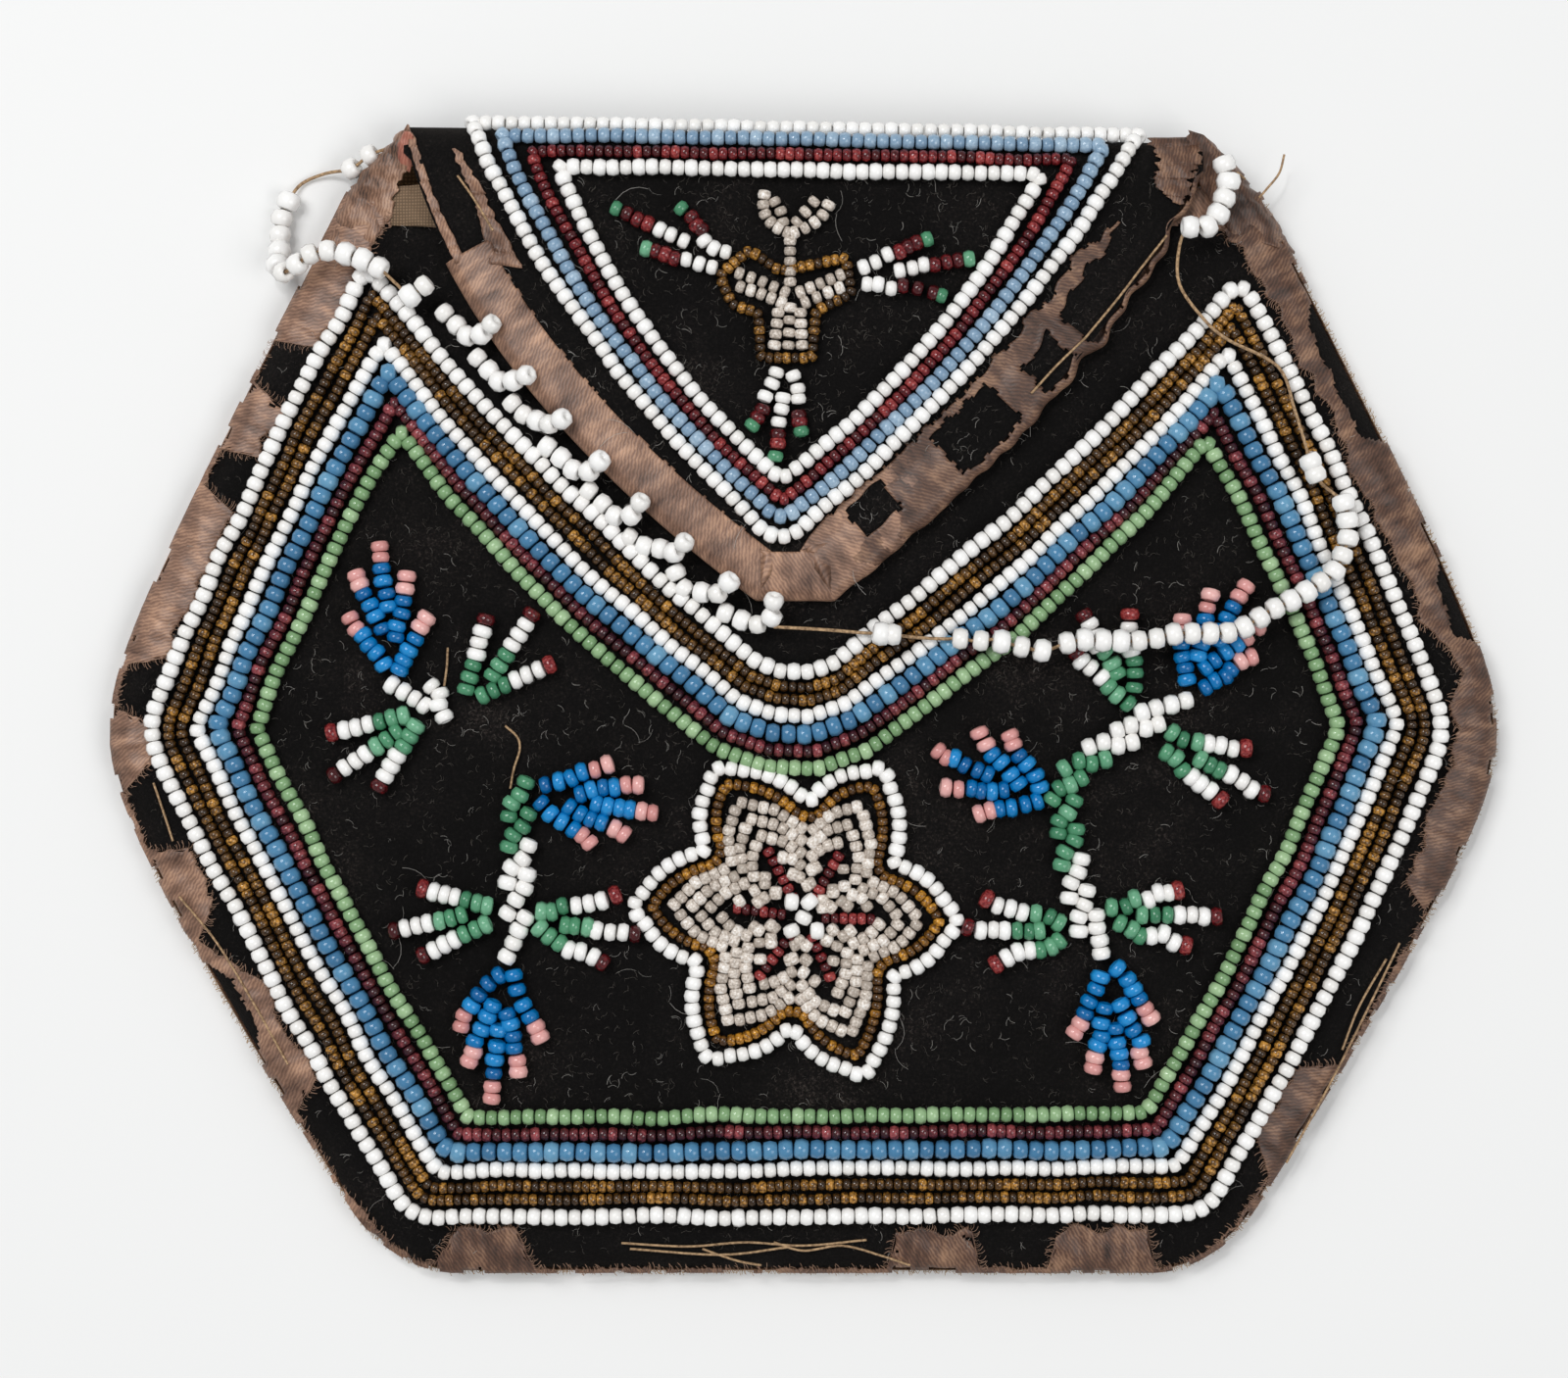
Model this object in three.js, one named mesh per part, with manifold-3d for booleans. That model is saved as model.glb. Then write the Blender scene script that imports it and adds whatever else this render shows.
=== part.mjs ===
// A beaded pouch lying on its back, in millimetres with +Z up and the mouth towards +Y.
// Two velvet panels with cotton linings are sewn together round the rim and bound with ribbon.
// The back panel runs on over the top as a flap that comes to a point on the front.
// Rows of seed beads follow the edges, with a star flower, sprays and stems between them.

import * as THREE from 'three';
import { mergeVertices } from 'three/addons/utils/BufferGeometryUtils.js';
import Module from 'manifold-3d';

const wasm = await Module();
wasm.setup();

// Outline of the body: half widths at the tips, the mouth and the base, and their heights.
const tipHalf = 82.7;
const mouthHalf = 54.5;
const baseHalf = 49;
const tipY = -3.5;
const mouthY = 60.4;
const baseY = -68.6;
const tipRounding = 10;
const baseCorner = 7;
const lowerBulge = 1;

// The fold over the top, where the back panel becomes the flap.
const foldY = 66.8;
const foldHalf = 47.2;
const foldTilt = 0.022;

// The flap: its blunt point and how far its two edges bow outwards.
const flapTipX = -1;
const flapTipY = 11.6;
const flapTipHalf = 4.5;
const flapBowLeft = 26;
const flapBowRight = 20;

// Cloth thicknesses, the ribbon, and the clearance kept between layers.
const velvet = 0.8;
const lining = 0.4;
const ribbon = 0.35;
const lipWidth = 3.8;
const flapLipWidth = 5.2;
const wornLipWidth = 1.6;
const clearance = 0.3;

// How far the front stands off the back in the middle, and how full its sides are.
const pocketDepth = 5;
const fullness = 2.6;
const fullestY = 10;
const mouthSettle = 0.12;

// Bead heights, which are their diameters, and the spacing of the rows.
const whiteBead = 2.1;
const amberBead = 1.45;
const garnetBead = 1.6;
const greenBead = 2;
const paleBead = 1.9;
const sprayBead = 2.35;
const petalBead = 1.7;
const edgingBead = 2.8;
const threadSize = 0.4;

// Heights of the layers at the rim, worked out from the stack.
const backZ = ribbon + clearance;
const backLiningZ = backZ + velvet + clearance;
const frontLiningZ = backLiningZ + lining + clearance;
const frontZ = frontLiningZ + lining + clearance;
const frontTopZ = frontZ + velvet;
const edgeInset = ribbon + clearance;
const flapUnderlay = clearance + ribbon + clearance;
const sheetDepth = velvet + clearance + lining;

// Half width of the body at a height, taken in by a distance measured square to the edge.
function halfWidth(y, inset) {
  const drop = y - tipY;
  const soft = Math.sqrt(drop * drop + tipRounding * tipRounding) - tipRounding;
  const reach = drop > 0 ? mouthY - tipY : tipY - baseY;
  const farHalf = drop > 0 ? mouthHalf : baseHalf;
  const span = Math.sqrt(reach * reach + tipRounding * tipRounding) - tipRounding;
  const slope = (tipHalf - farHalf) / span;
  const share = Math.min(Math.abs(drop) / reach, 1);
  const bulge = drop > 0 ? 0 : 4 * lowerBulge * share * (1 - share);
  const into = Math.max(baseY + baseCorner - y, 0);
  const round = baseCorner - inset;
  const corner = round - Math.sqrt(Math.max(round * round - into * into, 0));
  return tipHalf - slope * soft + bulge - corner - inset * Math.sqrt(1 + slope * slope);
}

// How far the front stands above its height at the rim.
function swell(x, y) {
  const level = Math.min(Math.max(y, baseY), mouthY);
  const across = Math.min(Math.abs(x) / halfWidth(level, 0), 1);
  const side = 1 - across ** fullness;
  const below = Math.max(fullestY - level, 0) / (fullestY - baseY);
  const above = Math.max(level - fullestY, 0) / (mouthY - fullestY);
  return pocketDepth * side * (1 - below ** fullness) * (1 - mouthSettle * above * above);
}

function frontTop(x, y) {
  return frontTopZ + swell(x, y);
}

function flapTop(x, y) {
  return frontTop(x, y) + flapUnderlay + sheetDepth;
}

// The fold is a half round whose size follows the height of the flap above the back.
function foldAt(x) {
  const radius = (flapTop(x, mouthY) - backZ) / 2;
  return { radius, y: foldY - foldTilt * x - radius, z: backZ + radius };
}

// Left and right edges of the flap at a share of its height, 0 at the point and 1 at the fold.
function flapEdges(share) {
  const hump = share * (1 - share);
  const left = flapTipX - flapTipHalf - (foldHalf - flapTipHalf + flapTipX) * share - flapBowLeft * hump;
  const right = flapTipX + flapTipHalf + (foldHalf - flapTipHalf - flapTipX) * share + flapBowRight * hump;
  return { left, right };
}

// Builds one closed solid from rings of points, each ring joined to the next.
function solidFromRings(rings, closed) {
  const sides = rings[0].length;
  const positions = rings.flat().flatMap((p) => [p.x, p.y, p.z]);
  const indices = [];
  const steps = closed ? rings.length : rings.length - 1;
  for (let i = 0; i < steps; i += 1) {
    const here = i * sides;
    const next = ((i + 1) % rings.length) * sides;
    for (let j = 0; j < sides; j += 1) {
      const k = (j + 1) % sides;
      indices.push(here + j, next + j, next + k, here + j, next + k, here + k);
    }
  }
  if (!closed) {
    const last = (rings.length - 1) * sides;
    const cap = THREE.ShapeUtils.triangulateShape(flatten(rings[0]), []);
    const end = THREE.ShapeUtils.triangulateShape(flatten(rings[rings.length - 1]), []);
    cap.forEach(([a, b, c]) => indices.push(...outward(rings[0], a, b, c, 0)));
    end.forEach(([a, b, c]) => indices.push(...outward(rings[rings.length - 1], a, b, c, last)));
  }
  return facingOut(positions, indices);
}

// A ring seen in its own plane, so that its cap can be cut into triangles.
function flatten(ring) {
  const normal = ringNormal(ring);
  const across = ring[1].clone().sub(ring[0]).normalize();
  const up = normal.clone().cross(across);
  return ring.map((p) => new THREE.Vector2(p.dot(across), p.dot(up)));
}

function ringNormal(ring) {
  const normal = new THREE.Vector3();
  ring.forEach((p, i) => normal.add(p.clone().cross(ring[(i + 1) % ring.length])));
  return normal.normalize();
}

// Turns a cap triangle the same way as the walls, which run from each ring to the next.
function outward(ring, a, b, c, offset) {
  const face = ring[b].clone().sub(ring[a]).cross(ring[c].clone().sub(ring[a]));
  const toward = ringNormal(ring);
  const same = face.dot(toward) > 0;
  const first = offset === 0;
  const keep = first ? same : !same;
  return keep ? [offset + a, offset + b, offset + c] : [offset + a, offset + c, offset + b];
}

// Turns the whole solid inside out where its volume comes out negative.
function facingOut(positions, indices) {
  const at = (i) => new THREE.Vector3(positions[3 * i], positions[3 * i + 1], positions[3 * i + 2]);
  let volume = 0;
  for (let i = 0; i < indices.length; i += 3) {
    volume += at(indices[i]).dot(at(indices[i + 1]).cross(at(indices[i + 2])));
  }
  const order = volume < 0 ? indices.slice().reverse() : indices;
  const geometry = new THREE.BufferGeometry();
  geometry.setAttribute('position', new THREE.Float32BufferAttribute(positions, 3));
  geometry.setIndex(order);
  return geometry;
}

// A sheet with thickness: two grids of points, one for each face, joined round their edge.
function sheetSolid(rows, columns, faceA, faceB) {
  const positions = [];
  const indices = [];
  const grid = (face) => {
    for (let i = 0; i <= rows; i += 1) {
      for (let j = 0; j <= columns; j += 1) {
        positions.push(...face(i, j));
      }
    }
  };
  grid(faceA);
  grid(faceB);
  const layer = (rows + 1) * (columns + 1);
  const id = (i, j, k) => k * layer + i * (columns + 1) + j;
  const quad = (a, b, c, d) => indices.push(a, b, c, a, c, d);
  for (let i = 0; i < rows; i += 1) {
    for (let j = 0; j < columns; j += 1) {
      quad(id(i, j, 0), id(i, j + 1, 0), id(i + 1, j + 1, 0), id(i + 1, j, 0));
      quad(id(i, j, 1), id(i + 1, j, 1), id(i + 1, j + 1, 1), id(i, j + 1, 1));
    }
    quad(id(i, 0, 0), id(i + 1, 0, 0), id(i + 1, 0, 1), id(i, 0, 1));
    quad(id(i, columns, 0), id(i, columns, 1), id(i + 1, columns, 1), id(i + 1, columns, 0));
  }
  for (let j = 0; j < columns; j += 1) {
    quad(id(0, j, 0), id(0, j, 1), id(0, j + 1, 1), id(0, j + 1, 0));
    quad(id(rows, j, 0), id(rows, j + 1, 0), id(rows, j + 1, 1), id(rows, j, 1));
  }
  return facingOut(positions, indices);
}

const pouch = new THREE.Group();
pouch.name = 'beaded_pouch';

function addMesh(name, geometry, colour, roughness) {
  const material = new THREE.MeshStandardMaterial({ color: colour, roughness, metalness: 0 });
  const mesh = new THREE.Mesh(geometry, material);
  mesh.name = name;
  pouch.add(mesh);
}

// Colours of the cloths and the glass.
const velvetBlack = 0x14110f;
const liningTan = 0xa8895f;
const silkBrown = 0x7a5848;
const glassWhite = 0xf2f0ec;
const glassAmber = 0x7a5212;
const glassBlue = 0x2e86c0;
const glassSprayBlue = 0x1478b8;
const glassPaleBlue = 0x6fa0cc;
const glassGarnet = 0x6b2230;
const glassLightGreen = 0x7fb069;
const glassSprayGreen = 0x4f9a6b;
const glassClear = 0xb0a59a;
const clothRoughness = 0.95;
const silkRoughness = 0.6;
const glassRoughness = 0.2;

// Places across a panel from edge to edge, closer together near the edges where it curves most.
const panelColumns = 8;
function acrossShare(j) {
  return Math.sin((Math.PI / 2) * ((2 * j) / panelColumns - 1));
}

// Heights up a panel from the base to the mouth, closer together at the corners and the tips.
const cornerSteps = 3;
const sideSteps = 5;
const panelRows = cornerSteps + 2 * sideSteps;
const tipCrowding = 1.5;
function panelHeight(i, inset) {
  if (i === 0) {
    return baseY + inset;
  }
  if (i < cornerSteps) {
    return baseY + baseCorner * (1 - Math.cos((Math.PI / 2) * (i / cornerSteps)));
  }
  if (i === panelRows) {
    return mouthY - inset;
  }
  const share = (i - cornerSteps - sideSteps) / sideSteps;
  const reach = share > 0 ? mouthY - tipY : tipY - baseY - baseCorner;
  return tipY + Math.sign(share) * Math.abs(share) ** tipCrowding * reach;
}

// Front panel and its lining, open along the mouth.
function frontSheet(bottomZ, thickness, inset) {
  const face = (z) => (i, j) => {
    const y = panelHeight(i, inset);
    const x = acrossShare(j) * halfWidth(y, inset);
    return [x, y, z + swell(x, y)];
  };
  return sheetSolid(panelRows, panelColumns, face(bottomZ + thickness), face(bottomZ));
}

addMesh('front_velvet', frontSheet(frontZ, velvet, edgeInset), velvetBlack, clothRoughness);
addMesh('front_lining', frontSheet(frontLiningZ, lining, edgeInset), liningTan, clothRoughness);

// Back panel, fold and flap as one bent sheet, given by its depth below the outer velvet face.
const foldSteps = 4;
const flapRows = 6;
const shoulderRows = 2;
const backRows = panelRows + shoulderRows;

function bentSheetPoint(i, j, depth) {
  if (i <= panelRows) {
    const y = panelHeight(i, edgeInset);
    return [acrossShare(j) * halfWidth(y, edgeInset), y, backZ + depth];
  }
  const x = acrossShare(j) * foldHalf;
  const fold = foldAt(x);
  if (i < backRows) {
    const share = (i - panelRows) / shoulderRows;
    const wide = halfWidth(mouthY, edgeInset) + (foldHalf - halfWidth(mouthY, edgeInset)) * share;
    const y = mouthY - edgeInset + (fold.y - mouthY + edgeInset) * share;
    return [acrossShare(j) * wide, y, backZ + depth];
  }
  if (i <= backRows + foldSteps) {
    const turn = (Math.PI * (i - backRows)) / foldSteps;
    const radius = fold.radius - depth;
    return [x, fold.y + radius * Math.sin(turn), fold.z - radius * Math.cos(turn)];
  }
  const share = 1 - (i - backRows - foldSteps) / flapRows;
  const { left, right } = flapEdges(share);
  const flapX = (left + right) / 2 + (acrossShare(j) * (right - left - 2 * edgeInset)) / 2;
  const flapY = flapTipY + edgeInset + (fold.y - flapTipY - edgeInset) * share;
  return [flapX, flapY, flapTop(flapX, flapY) - depth];
}

function bentSheet(outerDepth, thickness) {
  const rows = backRows + foldSteps + flapRows;
  const face = (depth) => (i, j) => bentSheetPoint(i, j, depth);
  return sheetSolid(rows, panelColumns, face(outerDepth), face(outerDepth + thickness));
}

addMesh('back_flap_velvet', bentSheet(0, velvet), velvetBlack, clothRoughness);
addMesh('back_flap_lining', bentSheet(velvet + clearance, lining), liningTan, clothRoughness);

// Ribbon folded round an edge: a channel whose two lips lie over and under the cloth.
function edgeRibbon(path, topUnder, bottomOver, widthAt) {
  const rings = path.map((p, i) => {
    const before = path[Math.max(i - 1, 0)];
    const after = path[Math.min(i + 1, path.length - 1)];
    const along = new THREE.Vector2().subVectors(after, before).normalize();
    const inward = new THREE.Vector2(-along.y, along.x);
    const width = widthAt(i / (path.length - 1));
    const corner = (inset, zAt, lift) => {
      const q = p.clone().addScaledVector(inward, inset);
      return new THREE.Vector3(q.x, q.y, zAt(q.x, q.y) + lift);
    };
    return [
      corner(width, bottomOver, -ribbon),
      corner(0, bottomOver, -ribbon),
      corner(0, topUnder, ribbon),
      corner(width, topUnder, ribbon),
      corner(width, topUnder, 0),
      corner(ribbon, topUnder, 0),
      corner(ribbon, bottomOver, 0),
      corner(width, bottomOver, 0),
    ];
  });
  return solidFromRings(rings, false);
}

// Points round the rim from the left shoulder down, along the base and up the right side.
const baseSteps = 6;
const shoulderGap = lipWidth + 2 * clearance;
function rimSide() {
  const points = [];
  const top = mouthY - shoulderGap;
  points.push(new THREE.Vector2(halfWidth(top, 0), top));
  for (let i = panelRows - 1; i >= 0; i -= 1) {
    const y = panelHeight(i, 0);
    if (y < top - clearance) {
      points.push(new THREE.Vector2(halfWidth(y, 0), y));
    }
  }
  return points;
}

function rimPath() {
  const right = rimSide();
  const left = right.map((p) => new THREE.Vector2(-p.x, p.y));
  const corner = right[right.length - 1].x;
  const base = [];
  for (let i = 1; i < baseSteps; i += 1) {
    base.push(new THREE.Vector2(-corner + (2 * corner * i) / baseSteps, baseY));
  }
  return [...left, ...base, ...right.reverse()];
}

const overFront = (x, y) => frontTop(x, y) + clearance;
const underBack = () => ribbon;
const bodyBinding = edgeRibbon(rimPath(), overFront, underBack, () => lipWidth);
addMesh('body_binding', bodyBinding, silkBrown, silkRoughness);

// Ribbon over the front panel's top edge.
const mouthSteps = 12;
const mouthRibbonHalf = 50.5;
function mouthPath() {
  const points = [];
  for (let i = 0; i <= mouthSteps; i += 1) {
    points.push(new THREE.Vector2(mouthRibbonHalf * (1 - (2 * i) / mouthSteps), mouthY));
  }
  return points;
}
const underFront = (x, y) => frontLiningZ + swell(x, y) - clearance;
const mouthBinding = edgeRibbon(mouthPath(), overFront, underFront, () => lipWidth);
addMesh('mouth_binding', mouthBinding, silkBrown, silkRoughness);

// Ribbon round the flap's edge, worn to a narrow strip on the right side.
const flapEdgeSteps = 9;
const flapRibbonTop = 0.74;
const wornFrom = 0.55;
function flapPath() {
  const leftSide = [];
  const rightSide = [];
  for (let i = 0; i <= flapEdgeSteps; i += 1) {
    const share = flapRibbonTop * (1 - i / flapEdgeSteps);
    const { left, right } = flapEdges(share);
    const y = flapTipY + (foldAt(left).y - flapTipY) * share;
    leftSide.push(new THREE.Vector2(left, y));
    rightSide.push(new THREE.Vector2(right, flapTipY + (foldAt(right).y - flapTipY) * share));
  }
  return [...leftSide, ...rightSide.reverse()];
}
const overFlap = (x, y) => flapTop(x, y) + clearance;
const underFlap = (x, y) => flapTop(x, y) - sheetDepth - clearance;
const flapWidth = (share) => (share > wornFrom ? wornLipWidth : flapLipWidth);
addMesh('flap_binding', edgeRibbon(flapPath(), overFlap, underFlap, flapWidth), silkBrown, silkRoughness);

// A point in a plane, for the bead paths, which are laid out flat before they go on the cloth.
const at = (x, y) => new THREE.Vector2(x, y);

function crossing(a, alongA, b, alongB) {
  const gap = b.clone().sub(a);
  const share = gap.cross(alongB) / alongA.cross(alongB);
  return a.clone().addScaledVector(alongA, share);
}

// A closed path through corners taken in by an inset, with bowed sides and rounded corners.
// Each corner holds its place, its rounding and the bow of the side that follows it. Rows lie
// closer together along a side with a tightness under 1. A corner stays sharp where its curve
// would be tighter than a row of beads can lie.
const roundSteps = 2;
const leastRadius = 1.8;
const leastStep = 0.7;
function closedPath(corners, inset, sideSteps) {
  const count = corners.length;
  const sides = corners.map((corner, k) => {
    const next = corners[(k + 1) % count];
    const along = next.place.clone().sub(corner.place).normalize();
    const inward = at(-along.y, along.x);
    const depth = inset * (corner.tight ?? 1);
    return { along, inward, start: corner.place.clone().addScaledVector(inward, depth) };
  });
  const rounds = corners.map((corner, k) => {
    const before = sides[(k + count - 1) % count].along;
    const turn = Math.atan2(before.cross(sides[k].along), before.dot(sides[k].along));
    const bend = Math.tan(turn / 2);
    const round = corner.round - inset * (corner.tight ?? 1) * bend;
    return round > leastRadius * Math.abs(bend) ? round : 0;
  });
  const places = corners.map((corner, k) => {
    const before = sides[(k + count - 1) % count];
    return crossing(before.start, before.along, sides[k].start, sides[k].along);
  });
  const points = [];
  corners.forEach((corner, k) => {
    const { along, inward } = sides[k];
    const before = sides[(k + count - 1) % count];
    const enter = places[k].clone().addScaledVector(before.along, -rounds[k]);
    const leave = places[k].clone().addScaledVector(along, rounds[k]);
    const turn = new THREE.QuadraticBezierCurve(enter, places[k], leave);
    points.push(...(rounds[k] > 0 ? turn.getPoints(roundSteps) : [places[k]]));
    const nextRound = rounds[(k + 1) % count];
    const finish = places[(k + 1) % count].clone().addScaledVector(along, -nextRound);
    for (let i = 1; i < sideSteps; i += 1) {
      const share = i / sideSteps;
      const out = -4 * corner.bow * share * (1 - share);
      points.push(leave.clone().lerp(finish, share).addScaledVector(inward, out));
    }
  });
  return points.filter((p, i) => p.distanceTo(points[(i + points.length - 1) % points.length]) > leastStep);
}

// Where a bead lies: on the front panel, or on the flap and over its fold.
function onFront(p) {
  const slope = new THREE.Vector3(-swellSlope(p.x, p.y, 'x'), -swellSlope(p.x, p.y, 'y'), 1).normalize();
  return { foot: new THREE.Vector3(p.x, p.y, frontTop(p.x, p.y) + clearance), up: slope };
}

const slopeStep = 0.5;
function swellSlope(x, y, direction) {
  const dx = direction === 'x' ? slopeStep : 0;
  const dy = direction === 'y' ? slopeStep : 0;
  return (swell(x + dx, y + dy) - swell(x - dx, y - dy)) / (2 * slopeStep);
}

function onFlap(p) {
  const fold = foldAt(p.x);
  if (p.y <= fold.y) {
    const { up } = onFront(p);
    return { foot: new THREE.Vector3(p.x, p.y, flapTop(p.x, p.y) + clearance), up };
  }
  const turn = (p.y - fold.y) / (fold.radius + clearance);
  const up = new THREE.Vector3(0, Math.sin(turn), Math.cos(turn));
  return { foot: new THREE.Vector3(p.x, fold.y, fold.z).addScaledVector(up, fold.radius + clearance), up };
}

// One ring of a bead: flat underneath and narrower on top, standing square to the cloth.
const topShare = 0.62;
function beadRing(place, along, width, height) {
  const across = place.up.clone().cross(along).normalize();
  const corner = (side, lift) => {
    return place.foot.clone().addScaledVector(across, (side * width) / 2).addScaledVector(place.up, lift);
  };
  return [corner(-1, 0), corner(1, 0), corner(topShare, height), corner(-topShare, height)];
}

function tangents(feet, closed) {
  return feet.map((foot, i) => {
    const last = feet.length - 1;
    const before = closed ? feet[(i + last) % feet.length] : feet[Math.max(i - 1, 0)];
    const after = closed ? feet[(i + 1) % feet.length] : feet[Math.min(i + 1, last)];
    const arriving = foot.clone().sub(before).normalize();
    return after.clone().sub(foot).normalize().add(arriving).normalize();
  });
}

// A row of small beads sewn down side by side, as one ridge a little narrower than they are.
const rowShare = 0.84;
function beadRidge(points, lay, size) {
  const places = points.map(lay);
  const along = tangents(places.map((place) => place.foot), true);
  const rings = places.map((place, i) => beadRing(place, along[i], size * rowShare, size));
  return solidFromRings(rings, true);
}

// Rows round the front, from the outermost inwards, on a hexagon with a dipped top. Its corners
// keep a few millimetres from the rim, and its peaks stand beyond the ends of the fold.
const peakBeyondFold = { left: 4.35, right: 4.6 };
const peakBelowMouth = { left: 9.5, right: 11 };
const rowInsideTip = { left: 4.7, right: 6.3 };
const rowInsideBase = { left: 2.4, right: 1.2 };
const rowAboveBase = { left: 7.1, right: 7.6 };
const dipBelowFlap = 12.2;
const rightPeak = at(foldHalf + peakBeyondFold.right, mouthY - peakBelowMouth.right);
const frontCorners = [
  { place: at(-foldHalf - peakBeyondFold.left, mouthY - peakBelowMouth.left), round: 1, bow: 0.8 },
  { place: at(rowInsideTip.left - tipHalf, tipY - clearance), round: 4, bow: 0.8 },
  { place: at(rowInsideBase.left - baseHalf, baseY + rowAboveBase.left), round: 3, bow: 0 },
  { place: at(baseHalf - rowInsideBase.right, baseY + rowAboveBase.right), round: 3, bow: 1 },
  { place: at(tipHalf - rowInsideTip.right, tipY), round: 4, bow: 0.8 },
  { place: rightPeak, round: 3, bow: -1.6, tight: 0.9 },
  { place: at(flapTipX - clearance, flapTipY - dipBelowFlap), round: 10, bow: -1.6, tight: 0.9 },
];
const frontRows = [
  { name: 'row_white_outer', size: whiteBead, inset: 0, colour: glassWhite },
  { name: 'row_amber_outer', size: amberBead, inset: 2, colour: glassAmber },
  { name: 'row_amber_inner', size: amberBead, inset: 3.6, colour: glassAmber },
  { name: 'row_white_inner', size: whiteBead, inset: 5.6, colour: glassWhite },
  { name: 'row_blue', size: greenBead, inset: 7.85, colour: glassBlue },
  { name: 'row_garnet', size: garnetBead, inset: 9.9, colour: glassGarnet },
  { name: 'row_green', size: greenBead, inset: 12, colour: glassLightGreen },
];
const frontSideSteps = 4;
frontRows.forEach(({ name, size, inset, colour }) => {
  const path = closedPath(frontCorners, inset, frontSideSteps);
  addMesh(name, beadRidge(path, onFront, size), colour, glassRoughness);
});

// Rows round the flap, whose top side lies over the fold.
const flapRowInside = { left: 7.8, right: 7.7 };
const flapRowAboveTip = 4.9;
const flapRowTilt = 1.4;
const flapRowTop = foldY + 1.1;
const flapCorners = [
  { place: at(flapRowInside.left - foldHalf, flapRowTop), round: 0.8, bow: 2.8 },
  { place: at(flapTipX - 1.9, flapTipY + flapRowAboveTip), round: 6, bow: 2.6 },
  { place: at(foldHalf - flapRowInside.right, flapRowTop - flapRowTilt), round: 0.8, bow: 0 },
];
const flapRowsOfBeads = [
  { name: 'flap_row_white_outer', size: whiteBead, inset: 0, colour: glassWhite },
  { name: 'flap_row_pale_blue', size: paleBead, inset: 1.95, colour: glassPaleBlue },
  { name: 'flap_row_red', size: garnetBead, inset: 3.75, colour: glassGarnet },
  { name: 'flap_row_white_inner', size: whiteBead, inset: 5.5, colour: glassWhite },
];
const flapSideSteps = 6;
const foldStride = 2;
function steppedOverFold(points) {
  return points.flatMap((p, i) => {
    const next = points[(i + 1) % points.length];
    const over = Math.max(p.y, next.y) > foldAt(p.x).y;
    const climb = Math.abs(next.y - p.y);
    const count = over ? Math.max(Math.ceil(climb / foldStride), 1) : 1;
    return Array.from({ length: count }, (_, k) => p.clone().lerp(next, k / count));
  });
}
flapRowsOfBeads.forEach(({ name, size, inset, colour }) => {
  const path = steppedOverFold(closedPath(flapCorners, inset, flapSideSteps));
  addMesh(name, beadRidge(path, onFlap, size), colour, glassRoughness);
});

// A string of beads sewn down between two places, narrow between one bead and the next.
const neckShare = 0.72;
function beadString(from, to, beads, lay) {
  const rings = [];
  const places = [];
  const sizes = [];
  for (let i = 0; i <= 2 * beads.length; i += 1) {
    const share = (i - 1) / (2 * (beads.length - 1));
    const neck = i % 2 === 0;
    const here = beads[Math.min(Math.floor(i / 2), beads.length - 1)];
    const before = beads[Math.max(Math.floor((i - 1) / 2), 0)];
    places.push(lay(from.clone().lerp(to, share)));
    sizes.push(neck ? neckShare * Math.min(here, before) : here);
  }
  const along = tangents(places.map((place) => place.foot), false);
  places.forEach((place, i) => {
    const [left, right] = beadRing(place, along[i], sizes[i], 0);
    rings.push([left, right, place.foot.clone().addScaledVector(place.up, sizes[i])]);
  });
  return solidFromRings(rings, false);
}

function toManifold(geometry) {
  const merged = mergeVertices(geometry);
  const vertProperties = new Float32Array(merged.attributes.position.array);
  const triVerts = new Uint32Array(merged.index.array);
  return new wasm.Manifold(new wasm.Mesh({ numProp: 3, vertProperties, triVerts }));
}

function joined(geometries) {
  const solid = geometries.map(toManifold).reduce((whole, piece) => whole.add(piece));
  const { vertProperties, triVerts } = solid.getMesh();
  const geometry = new THREE.BufferGeometry();
  geometry.setAttribute('position', new THREE.Float32BufferAttribute(vertProperties, 3));
  geometry.setIndex(Array.from(triVerts));
  return geometry;
}

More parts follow.
